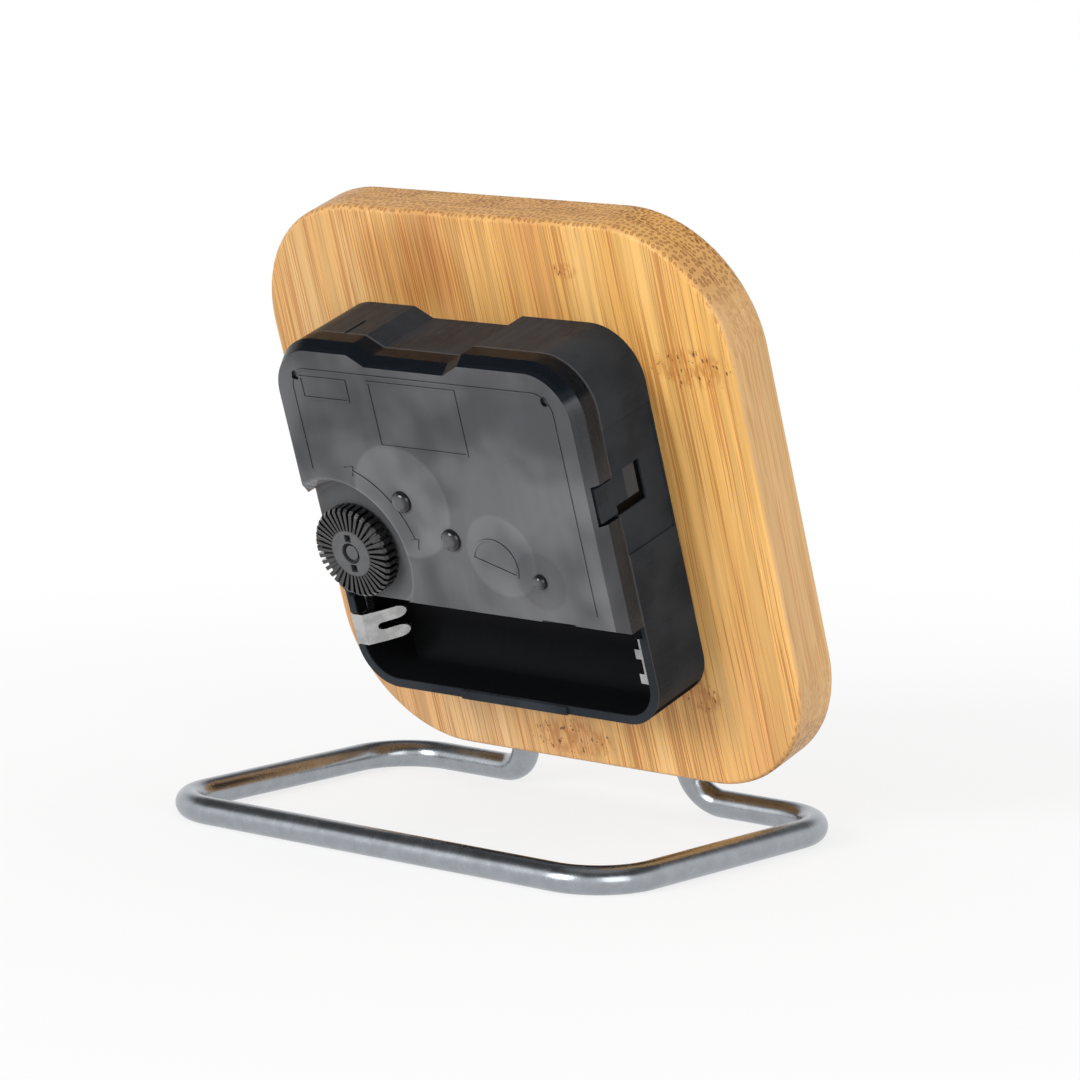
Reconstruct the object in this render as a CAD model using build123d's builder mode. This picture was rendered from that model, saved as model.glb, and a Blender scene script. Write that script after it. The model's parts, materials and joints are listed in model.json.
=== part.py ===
from build123d import *
from math import atan2, cos, degrees, hypot, radians, sin, sqrt
import os

# Bamboo desk clock on a bent wire stand, with a small quartz movement behind the board.
# Lengths are millimetres and angles are degrees. The dial faces -Y, the movement faces +Y and Z is up.
# Local axes of the board: u runs to the right as seen from behind, v up the board, w out of its back.

# Board
board_width = 85.0
board_height = 85.0
board_thickness = 8.0
board_corner = 19.5
board_edge = 0.8
board_lift = 5.9
lean = 17.8

# Wire stand
wire_diameter = 4.0
loop_width = 82.6
loop_depth = 50.6
loop_bend = 9.0
leg_spacing = 31.0
leg_bend = 5.0
leg_seat = 14.0
leg_clearance = 0.05
rest_flat = 0.1

# Movement case
movement_shift = 1.6
case_size = 56.0
case_top_corner = 8.0
case_low_corner = 6.5
case_wall = 1.3
case_floor = 1.6
case_height = 10.6
rim_height = 11.2
rim_step = 0.4
recess_depth = 1.6
recess_left = 9.0
recess_right = 5.0
recess_slope = 3.0
battery_width = 14.6
battery_floor = 1.0
battery_round = 5.0
partition_wall = 1.0
panel_low = 1.5
panel_high = 17.1
panel_depth = 0.3
tongue_low = 4.5
tongue_high = 10.4
tongue_left_rise = 3.2
tongue_gap = 0.4
pocket_floor = 4.4
pocket_depth = 0.7
post_radius = 1.5
pin_radius = 0.8
post_spot_shares = [(-0.80, 0.26), (-0.46, 0.50), (0.46, 0.46), (0.62, -0.31)]
circuit_post_shares = [(-0.72, 0.72), (0.30, 0.70)]
rim_rise_left = 9.2
rim_rise_right = 10.5
slit_place = -16.0
slit_width = 0.5
slit_length = 4.5
overrun = 2.0

# Smoked cover
cover_top = 15.2
cover_wall = 1.1
cover_bevel_in = 1.9
cover_bevel_down = 1.1
shelf_lip = 0.7
arc_radius = 10.8
shelf_thickness = 1.2
shelf_corner = 2.0
lip_notch_left = 13.7
lip_notch_width = 6.0
lip_notch_depth = 1.3
bump_radius = 1.5
small_bump_radius = 1.0
bump_height = 0.8
bump_round = 0.5
boss_radius = 1.1
boss_drop = 0.9
pivot_depth = 0.5
line_width = 0.35
line_height = 0.15
dimple_radius = 0.7
dimple_depth = 0.6
dimple_inset = 5.0
border_inset = 4.0
border_corner = 3.0
border_left_end = 8.5
border_right_end = -9.0
small_panel = (-17.9, 21.3, 8.9, 3.5)
large_panel = (-1.3, 18.3, 16.4, 10.0)
arrow_radius = 14.6
arrow_start = 10.0
arrow_sweep = 66.0
arrow_head = 1.6
moon_radius = 4.1
moon_centre = (7.3, -3.2)
moon_turn = -16.0

# Gear train: teeth, distances between axes and levels above the back of the board
hour_teeth = 40
centre_teeth = 60
cannon_teeth = 12
reduction_teeth = 36
reduction_leaves = 10
third_teeth = 64
third_leaves = 8
second_teeth = 50
second_leaves = 8
middle_teeth = 48
middle_leaves = 10
rotor_leaves = 8
knob_leaves = 12
setting_module = 0.46
tip_share = 0.70
root_share = 1.00
tooth_root_share = 0.24
tooth_tip_share = 0.11
gear_thickness = 0.8
leaf_thickness = 1.2
hour_level = 2.5
setting_level = 3.7
centre_level = 5.2
third_level = 8.0
second_level = 9.6
middle_level = 11.3
level_gap = 0.2
hub_shoulder = 2.9
hole_ring_share = 0.58
hole_size_share = 0.17
web_holes = 4

# Pivots, arbors and tubes
running_gap = 0.08
pivot_radius = 0.35
arbor_radius = 0.6
seconds_radius = 0.5
tube_wall = 0.75
hour_tube_wall = 0.7
hub_radius = 2.4
clutch_lip = 0.45

# Middle plate, circuit and motor
plate_level = 6.6
plate_thickness = 0.8
magnet_radius = 2.8
magnet_height = 2.2
magnet_level = 8.1
stator_level = 8.6
stator_thickness = 0.8
stator_gap = 0.6
stator_width = 7.6
stator_low = -10.7
stator_high = 19.6
stator_foot = 3.4
coil_place = 22.6
coil_level = 10.6
coil_radius = 2.7
coil_low = -6.2
coil_high = 15.2
core_size = 2.0
flange_radius = 3.1
flange_thickness = 0.8
seat_radius = 1.2
seat_high = 13.5
circuit_gap = 0.5
circuit_low = 15.3
circuit_level = 7.6
circuit_thickness = 0.8
crystal_radius = 1.0
crystal_length = 6.0
crystal_round = 0.3
crystal_place = (-8.5, 22.5)
chip_radius = 2.4
chip_height = 1.0
chip_taper = 30.0
chip_place = (4.5, 20.0)
plate_left = -24.2
plate_right = 26.2
plate_low = -10.9
plate_high = 15.0
plate_corner = 2.5

# Setting knob
knob_radius = 6.9
knob_arbor = 1.15
knob_level = 12.1
knob_top = 14.5
knob_bevel = 0.45
knob_ribs = 38
groove_depth = 0.7
rib_inner = 0.32
rib_outer = 0.64
knob_hub = 3.6
hub_recess = 1.6
hub_pin = 1.1
pin_drop = 0.25
hub_well = 1.0
hub_slot = 1.1
slot_offset = 2.35

# Battery contacts
sheet = 0.35
fork_width = 4.8
fork_slot = 1.1
fork_bend_in = 2.1
fork_mid_in = 4.0
fork_mid_level = 8.5
fork_tip_in = 6.2
fork_tip_level = 5.4
plus_width = 7.0
plus_gap = 0.3
plus_low = 2.4
plus_tab = 1.3
plus_tab_spots = (-1.0, 2.8)
tab_width = 1.5
nub_radius = 1.5
nub_height = 0.7
nub_level = 7.5
nub_taper = 25.0
tail_low = 7.4
tail_height = 1.4
tail_end = 18.0
tail_slot = 1.4

# Bushing, nut, washer and gasket
bushing_radius = 4.0
bushing_flange = 5.4
bushing_flange_thickness = 0.6
bushing_reach = 3.7
board_bore_gap = 0.2
washer_radius = 7.0
washer_thickness = 0.6
nut_across = 11.0
nut_height = 2.0
gasket_radius = 9.6
gasket_thickness = 0.6

# Dial and hands
mark_radius = 35.0
mark_length = 4.5
mark_width = 1.2
quarter_mark_width = 2.0
mark_height = 0.25
dial_hours = 12
dial_quarters = 4
numeral_size = 6.6
numeral_gap = 2.45
numeral_radius = mark_radius - mark_length / 2 - numeral_gap - numeral_size / 2
numeral_shift = 2.1
numeral_stroke = 0.8
numeral_bend = 0.7
one_shares = [(-0.16, 0.24), (0.07, 0.50), (0.07, -0.50)]
two_shares = [(-0.27, 0.20), (-0.27, 0.50), (0.27, 0.50), (0.27, 0.04), (-0.27, -0.50), (0.31, -0.50)]
three_top_shares = [(-0.28, 0.24), (-0.28, 0.50), (0.27, 0.50), (0.27, 0.02), (-0.08, 0.02)]
three_low_shares = [(-0.08, 0.02), (0.28, 0.02), (0.28, -0.50), (-0.28, -0.50), (-0.28, -0.22)]
six_shares = [(0.26, 0.26), (0.26, 0.50), (-0.28, 0.50), (-0.28, -0.50), (0.28, -0.50), (0.28, 0.06)]
six_shares.append((-0.28, 0.06))
hand_thickness = 0.4
hand_gap = 0.8
hour_hand_length = 19.0
minute_hand_length = 27.0
second_hand_length = 28.0
second_hand_tail = 9.0
hour_hand_width = 2.4
minute_hand_width = 2.0
second_hand_width = 0.8
hand_hub = 3.2
minute_hub = 2.8
second_hub = 1.7
hour_hand_turn = 305.0
minute_hand_turn = 60.0
second_hand_turn = 24.0

os.makedirs("parts", exist_ok=True)

# The board leans back about its lower edge, and the stand's outline is centred on the origin.
lean_sin = sin(radians(lean))
lean_cos = cos(radians(lean))
wire_radius = wire_diameter / 2
centre_height = board_lift + board_height / 2 * lean_cos
leg_depth = -board_thickness / 2
wire_level = wire_radius - rest_flat
leg_foot = (wire_level - centre_height + leg_depth * lean_sin) / lean_cos
loop_front = leg_foot * lean_sin + leg_depth * lean_cos
loop_rear = loop_front + loop_depth
board_front = (
    -(board_height / 2 - board_edge) * lean_sin
    - (board_thickness - board_edge) * lean_cos
    - board_edge
)
centre_y = -(board_front + loop_rear + wire_radius) / 2

board_plane = Plane(
    origin=(0, centre_y, centre_height), x_dir=(-1, 0, 0), z_dir=(0, lean_cos, -lean_sin)
)
shaft_point = board_plane.from_local_coords((-movement_shift, 0, 0))
move_plane = Plane(origin=shaft_point, x_dir=(-1, 0, 0), z_dir=(0, lean_cos, -lean_sin))
dial_plane = Plane(origin=shaft_point, x_dir=(1, 0, 0), z_dir=(0, -lean_cos, lean_sin))


def local_plane(u, v, w):
    """Plane parallel to the board through a point of the movement."""
    return Plane(
        origin=move_plane.from_local_coords((u, v, w)), x_dir=move_plane.x_dir, z_dir=move_plane.z_dir
    )


def turned(plane, turn):
    """The same plane turned about its normal."""
    return Plane(
        origin=plane.origin, x_dir=plane.x_dir.rotate(Axis((0, 0, 0), plane.z_dir), turn), z_dir=plane.z_dir
    )


def across_plane(u):
    """Plane square to the width of the movement, with v to the left and w up."""
    return Plane(
        origin=move_plane.from_local_coords((u, 0, 0)), x_dir=move_plane.y_dir, z_dir=move_plane.x_dir
    )


def upright_plane(v):
    """Plane square to the height of the movement, with u to the right and w down."""
    return Plane(
        origin=move_plane.from_local_coords((0, v, 0)), x_dir=move_plane.x_dir, z_dir=move_plane.y_dir
    )


# Places of the axes, measured from the centre shaft
shaft = (0.0, 0.0)
knob_u = -21.2
knob_v = -4.9
third_u = -7.9
third_v = 5.0
middle_u = 8.7
middle_v = -1.6
rotor_u = 15.1
rotor_v = -4.7
knob_axis = (knob_u, knob_v)
third_axis = (third_u, third_v)
middle_axis = (middle_u, middle_v)
rotor_axis = (rotor_u, rotor_v)

reduction_reach = (cannon_teeth + reduction_teeth) * setting_module / 2
knob_reach = (knob_leaves + reduction_teeth) * setting_module / 2
knob_distance = hypot(knob_u, knob_v)
along = (reduction_reach**2 - knob_reach**2 + knob_distance**2) / (2 * knob_distance)
aside = sqrt(reduction_reach**2 - along**2)
reduction_axis = (
    (along * knob_u + aside * knob_v) / knob_distance,
    (along * knob_v - aside * knob_u) / knob_distance,
)


def distance(a, b):
    return hypot(b[0] - a[0], b[1] - a[1])


def pair_module(a, b, teeth_a, teeth_b):
    """Module that brings two gears into mesh at the distance between their axes."""
    return 2 * distance(a, b) / (teeth_a + teeth_b)


hour_module = pair_module(shaft, reduction_axis, hour_teeth, reduction_leaves)
centre_module = pair_module(shaft, third_axis, centre_teeth, third_leaves)
third_module = pair_module(shaft, third_axis, second_leaves, third_teeth)
second_module = pair_module(shaft, middle_axis, second_teeth, middle_leaves)
middle_module = pair_module(middle_axis, rotor_axis, middle_teeth, rotor_leaves)


def mesh_turn(a, b, teeth_a, turn_a, teeth_b):
    """Turn of gear b, in degrees, that sets its gap against a tooth of gear a."""
    heading = degrees(atan2(b[1] - a[1], b[0] - a[0]))
    ahead = (heading - turn_a) * teeth_a / 360
    return heading + 180 - (0.5 - ahead) * 360 / teeth_b


def tooth_points(teeth, module, turn):
    """Corner points of a gear's outline."""
    pitch_radius = teeth * module / 2
    tip = pitch_radius + tip_share * module
    root = pitch_radius - root_share * module
    pitch_angle = 360 / teeth
    points = []
    for index in range(teeth):
        middle = turn + index * pitch_angle
        for radius, share in (
            (root, -tooth_root_share),
            (tip, -tooth_tip_share),
            (tip, tooth_tip_share),
            (root, tooth_root_share),
        ):
            angle = radians(middle + share * pitch_angle)
            points.append((radius * cos(angle), radius * sin(angle)))
    return points


def gear_outline(teeth, module, turn):
    """Draw a gear in the sketch that is open."""
    Polygon(*tooth_points(teeth, module, turn), align=None)


def case_outline(inset):
    """Draw the movement's outline, drawn in on every side by the inset, in the sketch that is open."""
    side = case_size - 2 * inset
    RectangleRounded(side, side, case_low_corner - inset)
    with Locations((0, -case_top_corner)):
        RectangleRounded(side, side + 2 * case_top_corner, case_top_corner - inset, mode=Mode.INTERSECT)
    top = case_size / 2
    floor = top - recess_depth - inset
    slope = recess_slope / recess_depth * overrun
    Polygon(
        (-recess_left - inset, floor),
        (recess_right + inset, floor),
        (recess_right + inset + recess_slope + slope, top - inset + overrun),
        (-recess_left - inset - recess_slope - slope, top - inset + overrun),
        align=None,
        mode=Mode.SUBTRACT,
    )


# Bamboo board, with a bore for the bushing and two blind holes in its lower edge for the stand
leg_plane = Plane(
    origin=board_plane.from_local_coords((0, -board_height / 2, leg_depth)),
    x_dir=(-1, 0, 0),
    z_dir=board_plane.y_dir,
)
with BuildPart() as bamboo_board:
    with BuildSketch(board_plane.offset(-board_thickness)):
        RectangleRounded(board_width, board_height, board_corner)
    extrude(amount=board_thickness)
    flat_faces = bamboo_board.faces().filter_by(Axis(shaft_point, board_plane.z_dir))
    fillet(flat_faces.edges(), board_edge)
    with BuildSketch(move_plane):
        Circle(bushing_radius + board_bore_gap)
    extrude(amount=-board_thickness, mode=Mode.SUBTRACT)
    with BuildSketch(leg_plane):
        with Locations((-leg_spacing / 2, 0), (leg_spacing / 2, 0)):
            Circle(wire_radius + leg_clearance)
    extrude(amount=leg_seat, mode=Mode.SUBTRACT)
bamboo_board.part.label = "bamboo_board"
export_step(bamboo_board.part, "parts/bamboo_board.step")

# Wire stand: one length of steel wire, bent into a loop that lies on the desk and two legs that rise
# into the board, with a narrow flat ground along the underside of the loop
leg_top = -board_height / 2 + leg_seat - leg_clearance
half_spacing = leg_spacing / 2
half_loop = loop_width / 2
front_y = centre_y + loop_front
rear_y = centre_y + loop_rear
left_leg = board_plane.from_local_coords((-half_spacing, leg_top, leg_depth))
right_leg = board_plane.from_local_coords((half_spacing, leg_top, leg_depth))
with BuildPart() as wire_stand:
    with BuildLine() as wire_path:
        FilletPolyline(
            left_leg,
            (half_spacing, front_y, wire_level),
            (half_loop, front_y, wire_level),
            (half_loop, rear_y, wire_level),
            (-half_loop, rear_y, wire_level),
            (-half_loop, front_y, wire_level),
            (-half_spacing, front_y, wire_level),
            right_leg,
            radius=[leg_bend, loop_bend, loop_bend, loop_bend, loop_bend, leg_bend],
        )
    with BuildSketch(Plane(origin=left_leg, z_dir=-board_plane.y_dir)):
        Circle(wire_radius)
    sweep()
    with BuildSketch(Plane.XY):
        Rectangle(loop_width + wire_diameter + overrun, 2 * loop_depth)
    extrude(amount=-wire_diameter, mode=Mode.SUBTRACT)
wire_stand.part.label = "wire_stand"
export_step(wire_stand.part, "parts/wire_stand.step")

# Room for the battery: a trough with rounded lower corners, cut to the inside of the case
case_half = case_size / 2
battery_low = -case_half + case_wall
battery_high = battery_low + battery_width
battery_middle = (battery_low + battery_high) / 2
with BuildPart() as battery_room:
    with BuildSketch(across_plane(-case_half + case_wall)):
        with BuildLine():
            FilletPolyline(
                (battery_low, cover_top),
                (battery_low, battery_floor),
                (battery_high, battery_floor),
                (battery_high, cover_top),
                radius=battery_round,
            )
            Line((battery_high, cover_top), (battery_low, cover_top))
        make_face()
    extrude(amount=case_size - 2 * case_wall)
    with BuildSketch(move_plane):
        case_outline(case_wall)
    extrude(amount=cover_top, mode=Mode.INTERSECT)

# Movement case: open towards the back, with a chamber for the train and the battery trough below it
partition_top = battery_high + partition_wall
post_spots = [(case_half * a, case_half * b) for a, b in post_spot_shares]
circuit_posts = [(case_half * a, case_half * b) for a, b in circuit_post_shares]
tongue_middle = (tongue_low + tongue_high) / 2
tongue_sides = [(-1, tongue_middle + tongue_left_rise), (1, tongue_middle)]
panel_middle = (panel_high - panel_low) / 2
panel_span = panel_high + panel_low
rise_width = rim_rise_left + rim_rise_right
rise_middle = (rim_rise_right - rim_rise_left) / 2
bevel_edge = cover_top - cover_bevel_down
with BuildPart() as movement_case:
    with BuildSketch(move_plane):
        case_outline(0)
    extrude(amount=rim_height)
    with BuildSketch(move_plane.offset(case_height)):
        with Locations((0, battery_high + case_half)):
            Rectangle(case_size + overrun, case_size)
    extrude(amount=overrun, mode=Mode.SUBTRACT)
    with BuildSketch(move_plane.offset(rim_height - rim_step)):
        Rectangle(case_size + overrun, case_size + overrun)
        with Locations((rise_middle, -case_half)):
            Rectangle(rise_width, case_half, mode=Mode.SUBTRACT)
    extrude(amount=overrun, mode=Mode.SUBTRACT)
    with BuildSketch(move_plane.offset(case_floor)):
        case_outline(case_wall)
        with Locations((0, partition_top - case_half)):
            Rectangle(case_size, case_size, mode=Mode.SUBTRACT)
    extrude(amount=case_height, mode=Mode.SUBTRACT)
    add(battery_room.part, mode=Mode.SUBTRACT)
    for side, snap_middle in tongue_sides:
        with BuildSketch(move_plane.offset(tail_low)):
            with Locations((side * (case_half - case_wall), battery_high)):
                Rectangle(tail_slot, 2 * partition_wall + overrun)
        extrude(amount=case_height, mode=Mode.SUBTRACT)
        with BuildSketch(move_plane.offset(panel_depth)):
            with Locations((side * case_half, panel_middle)):
                Rectangle(2 * panel_depth, panel_span)
        extrude(amount=case_height, mode=Mode.SUBTRACT)
        with BuildSketch(move_plane.offset(pocket_floor)):
            with Locations((side * case_half, snap_middle)):
                Rectangle(2 * pocket_depth, tongue_high - tongue_low)
        extrude(amount=case_height, mode=Mode.SUBTRACT)
        with BuildSketch(move_plane.offset(case_height)):
            with Locations((side * (case_half - panel_depth - cover_wall / 2), snap_middle)):
                Rectangle(cover_wall, tongue_high - tongue_low - 2 * tongue_gap)
        extrude(amount=bevel_edge - case_height)
    with BuildSketch(move_plane.offset(rim_height - rim_step - sheet)):
        with Locations((-case_half, battery_middle)):
            Rectangle(2 * case_wall + sheet, fork_width + sheet)
    extrude(amount=overrun, mode=Mode.SUBTRACT)
    with BuildSketch(move_plane.offset(case_height - slit_length)):
        with Locations((slit_place, case_half)):
            Rectangle(slit_width, case_wall)
    extrude(amount=slit_length, mode=Mode.SUBTRACT)
    with BuildSketch(move_plane.offset(case_floor)):
        with Locations(*post_spots):
            Circle(post_radius)
    extrude(amount=plate_level - case_floor)
    with BuildSketch(move_plane.offset(plate_level)):
        with Locations(*post_spots):
            Circle(pin_radius)
    extrude(amount=plate_thickness)
    with BuildSketch(move_plane.offset(case_floor)):
        with Locations(*circuit_posts):
            Circle(post_radius)
    extrude(amount=circuit_level - case_floor)
    with BuildSketch(move_plane):
        Circle(gasket_radius + running_gap)
    extrude(amount=gasket_thickness, mode=Mode.SUBTRACT)
    with BuildSketch(move_plane):
        Circle(bushing_radius)
    extrude(amount=case_floor, mode=Mode.SUBTRACT)
    with BuildSketch(move_plane.offset(gasket_thickness)):
        with Locations(knob_axis, reduction_axis):
            Circle(pivot_radius + running_gap)
    extrude(amount=case_floor, mode=Mode.SUBTRACT)
movement_case.part.label = "movement_case"
export_step(movement_case.part, "parts/movement_case.step")

# Smoked cover over the train, with an arc cut out for the knob and a lower shelf under it
ceiling = cover_top - cover_wall
large_bumps = [third_axis, shaft]
pivot_spots = [third_axis, middle_axis, rotor_axis, shaft]
dimple_place = case_half - dimple_inset
border_place = case_half - border_inset
with BuildPart() as movement_cover:
    with BuildSketch(move_plane.offset(case_height)):
        case_outline(0)
        with Locations((0, battery_high - case_half)):
            Rectangle(case_size, case_size, mode=Mode.SUBTRACT)
        with Locations(knob_axis):
            Circle(arc_radius, mode=Mode.SUBTRACT)
    extrude(amount=cover_top - case_height)
    top_face = movement_cover.faces().sort_by(Axis(shaft_point, move_plane.z_dir))[-1]
    chamfer(top_face.edges(), length=cover_bevel_down, length2=cover_bevel_in, reference=top_face)
    with BuildSketch(move_plane.offset(case_height)):
        case_outline(cover_wall)
        with Locations((0, battery_high + cover_wall - case_half)):
            Rectangle(case_size, case_size, mode=Mode.SUBTRACT)
        with Locations(knob_axis):
            Circle(arc_radius + cover_wall, mode=Mode.SUBTRACT)
    extrude(amount=ceiling - case_height, mode=Mode.SUBTRACT)
    with BuildSketch(move_plane.offset(case_height)):
        case_outline(0)
        with Locations(knob_axis):
            Circle(arc_radius + cover_wall / 2, mode=Mode.INTERSECT)
        with Locations((0, battery_high - shelf_lip + case_half)):
            RectangleRounded(case_size, case_size, shelf_corner, mode=Mode.INTERSECT)
    extrude(amount=shelf_thickness)
    with BuildSketch(move_plane.offset(case_height)):
        with Locations((0, battery_high - case_half)):
            Rectangle(case_size, case_size)
    extrude(amount=rim_height - case_height, mode=Mode.SUBTRACT)
    with BuildSketch(move_plane.offset(case_height)):
        with Locations(knob_axis):
            Circle(knob_arbor + running_gap)
    extrude(amount=shelf_thickness, mode=Mode.SUBTRACT)
    for side, snap_middle in tongue_sides:
        with BuildSketch(move_plane.offset(case_height)):
            with Locations((side * case_half, snap_middle)):
                Rectangle(2 * (cover_wall + panel_depth + tongue_gap / 2), tongue_high - tongue_low)
        extrude(amount=bevel_edge + tongue_gap - case_height, mode=Mode.SUBTRACT)
    with BuildSketch(move_plane.offset(case_height)):
        with Locations((lip_notch_left + lip_notch_width / 2, battery_high)):
            Rectangle(lip_notch_width, 2 * lip_notch_depth)
    extrude(amount=cover_top - case_height, mode=Mode.SUBTRACT)
    with BuildSketch(move_plane.offset(ceiling - boss_drop)):
        with Locations(*pivot_spots):
            Circle(boss_radius)
    extrude(amount=boss_drop)
    with BuildSketch(move_plane.offset(cover_top)):
        with Locations(*large_bumps):
            Circle(bump_radius)
        with Locations(rotor_axis):
            Circle(small_bump_radius)
    extrude(amount=bump_height)
    bump_faces = movement_cover.faces().filter_by(GeomType.PLANE).sort_by(Axis(shaft_point, move_plane.z_dir))
    fillet(bump_faces[-len(large_bumps) - 1 :].edges(), bump_round)
    with BuildSketch(move_plane.offset(ceiling - boss_drop)):
        with Locations(*pivot_spots):
            Circle(pivot_radius + running_gap)
    extrude(amount=boss_drop + pivot_depth, mode=Mode.SUBTRACT)
    with BuildSketch(move_plane.offset(cover_top)):
        for u, v, width, height in (small_panel, large_panel):
            with Locations((u, v)):
                Rectangle(width, height)
                Rectangle(width - 2 * line_width, height - 2 * line_width, mode=Mode.SUBTRACT)
    extrude(amount=line_height)
    with BuildSketch(move_plane.offset(cover_top)):
        with BuildLine():
            FilletPolyline(
                (-border_place, border_left_end),
                (-border_place, border_place),
                (border_place, border_place),
                (border_place, border_right_end),
                radius=border_corner,
            )
        trace(line_width=line_width)
    extrude(amount=line_height)
    with BuildSketch(move_plane.offset(cover_top + line_height)):
        with Locations((-dimple_place, dimple_place), (dimple_place, dimple_place)):
            Circle(dimple_radius)
    extrude(amount=-line_height - dimple_depth, mode=Mode.SUBTRACT)
    with BuildSketch(move_plane.offset(cover_top)):
        with BuildLine():
            CenterArc(knob_axis, arrow_radius, arrow_start, arrow_sweep)
        trace(line_width=line_width)
    extrude(amount=line_height)
    for end in (arrow_start, arrow_start + arrow_sweep):
        tip_turn = radians(end)
        tip_u = knob_u + arrow_radius * cos(tip_turn)
        tip_v = knob_v + arrow_radius * sin(tip_turn)
        back = -1 if end > arrow_start else 1
        with BuildSketch(turned(local_plane(tip_u, tip_v, cover_top), end)):
            Polygon(
                (0, 0),
                (arrow_head / 2, back * arrow_head),
                (-arrow_head / 2, back * arrow_head),
                align=None,
            )
        extrude(amount=line_height)
    with BuildSketch(turned(local_plane(moon_centre[0], moon_centre[1], cover_top), moon_turn)):
        Circle(moon_radius)
        Circle(moon_radius - line_width, mode=Mode.SUBTRACT)
        Rectangle(2 * moon_radius, moon_radius, align=(Align.CENTER, Align.MAX), mode=Mode.SUBTRACT)
        Rectangle(2 * moon_radius, line_width, align=(Align.CENTER, Align.MAX))
    extrude(amount=line_height)
movement_cover.part.label = "movement_cover"
export_step(movement_cover.part, "parts/movement_cover.step")

# Setting knob: ribs on its face and rim, a flat hub, and an arbor with leaves that drive the setting train
knob_turn = mesh_turn(reduction_axis, knob_axis, reduction_teeth, 0, knob_leaves)
knob_plane = local_plane(knob_u, knob_v, 0)
knob_section = Plane(origin=knob_plane.origin, x_dir=knob_plane.x_dir, z_dir=-knob_plane.y_dir)
with BuildPart() as setting_knob:
    with BuildSketch(knob_plane.offset(knob_level)):
        Circle(knob_radius - groove_depth)
    extrude(amount=knob_top - groove_depth - knob_level)
    with BuildSketch(knob_plane.offset(knob_level)):
        with PolarLocations(0, knob_ribs):
            Polygon(
                (knob_hub - groove_depth, -rib_inner / 2),
                (knob_radius, -rib_outer / 2),
                (knob_radius, rib_outer / 2),
                (knob_hub - groove_depth, rib_inner / 2),
                align=None,
            )
        Circle(knob_hub)
    extrude(amount=knob_top - knob_level)
    with BuildSketch(knob_section):
        Polygon(
            (knob_radius - knob_bevel, knob_top),
            (knob_radius + overrun, knob_top - knob_bevel - overrun),
            (knob_radius + overrun, knob_top + overrun),
            (knob_radius - knob_bevel, knob_top + overrun),
            align=None,
        )
    revolve(axis=Axis(knob_plane.origin, knob_plane.z_dir), mode=Mode.SUBTRACT)
    with BuildSketch(knob_plane.offset(knob_top)):
        Circle(hub_recess)
        Circle(hub_pin, mode=Mode.SUBTRACT)
        with Locations((0, slot_offset), (0, -slot_offset)):
            Rectangle(hub_slot, hub_slot)
    extrude(amount=-hub_well, mode=Mode.SUBTRACT)
    with BuildSketch(knob_plane.offset(knob_top)):
        Circle((hub_recess + hub_pin) / 2)
    extrude(amount=-pin_drop, mode=Mode.SUBTRACT)
    with BuildSketch(knob_plane.offset(case_floor + level_gap)):
        Circle(knob_arbor)
    extrude(amount=knob_level - case_floor - level_gap)
    with BuildSketch(knob_plane.offset(gasket_thickness + level_gap)):
        Circle(pivot_radius)
    extrude(amount=case_floor - gasket_thickness)
    with BuildSketch(knob_plane.offset(setting_level - level_gap)):
        gear_outline(knob_leaves, setting_module, knob_turn)
    extrude(amount=leaf_thickness)
setting_knob.part.label = "setting_knob"
export_step(setting_knob.part, "parts/setting_knob.step")

# Tubes that share the centre: the seconds arbor runs in the cannon, the cannon in the hour tube,
# and the hour tube in the bushing
cannon_bore = seconds_radius + running_gap
cannon_radius = cannon_bore + tube_wall
hour_bore = cannon_radius + running_gap
hour_tube = hour_bore + hour_tube_wall
bushing_bore = hour_tube + running_gap
bushing_front = -board_thickness - bushing_reach
hour_front = bushing_front - hand_gap - hand_thickness
minute_front = hour_front - hand_gap - hand_thickness
second_front = minute_front - hand_gap - hand_thickness

# Threaded bushing that holds the case against the board
bushing_base = case_floor + bushing_flange_thickness
with BuildPart() as threaded_bushing:
    with BuildSketch(move_plane.offset(bushing_front)):
        Circle(bushing_radius)
    extrude(amount=bushing_base - bushing_front)
    with BuildSketch(move_plane.offset(case_floor)):
        Circle(bushing_flange)
    extrude(amount=bushing_flange_thickness)
    with BuildSketch(move_plane.offset(bushing_front)):
        Circle(bushing_bore)
    extrude(amount=bushing_base - bushing_front, mode=Mode.SUBTRACT)
threaded_bushing.part.label = "threaded_bushing"
export_step(threaded_bushing.part, "parts/threaded_bushing.step")

# Rubber gasket between the case and the board
with BuildPart() as rubber_gasket:
    with BuildSketch(move_plane):
        Circle(gasket_radius)
        Circle(bushing_radius + board_bore_gap, mode=Mode.SUBTRACT)
    extrude(amount=gasket_thickness)
rubber_gasket.part.label = "rubber_gasket"
export_step(rubber_gasket.part, "parts/rubber_gasket.step")

# Washer and nut on the dial side
with BuildPart() as dial_washer:
    with BuildSketch(dial_plane.offset(board_thickness)):
        Circle(washer_radius)
        Circle(bushing_radius + board_bore_gap, mode=Mode.SUBTRACT)
    extrude(amount=washer_thickness)
dial_washer.part.label = "dial_washer"
export_step(dial_washer.part, "parts/dial_washer.step")

with BuildPart() as hex_nut:
    with BuildSketch(dial_plane.offset(board_thickness + washer_thickness)):
        RegularPolygon(nut_across / 2, 6, major_radius=False)
        Circle(bushing_radius, mode=Mode.SUBTRACT)
    extrude(amount=nut_height)
hex_nut.part.label = "hex_nut"
export_step(hex_nut.part, "parts/hex_nut.step")


def lightening_holes(radius):
    """Cut the ring of round holes in a wheel's web, in the sketch that is open."""
    with PolarLocations(radius * hole_ring_share, web_holes):
        Circle(radius * hole_size_share, mode=Mode.SUBTRACT)


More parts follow.
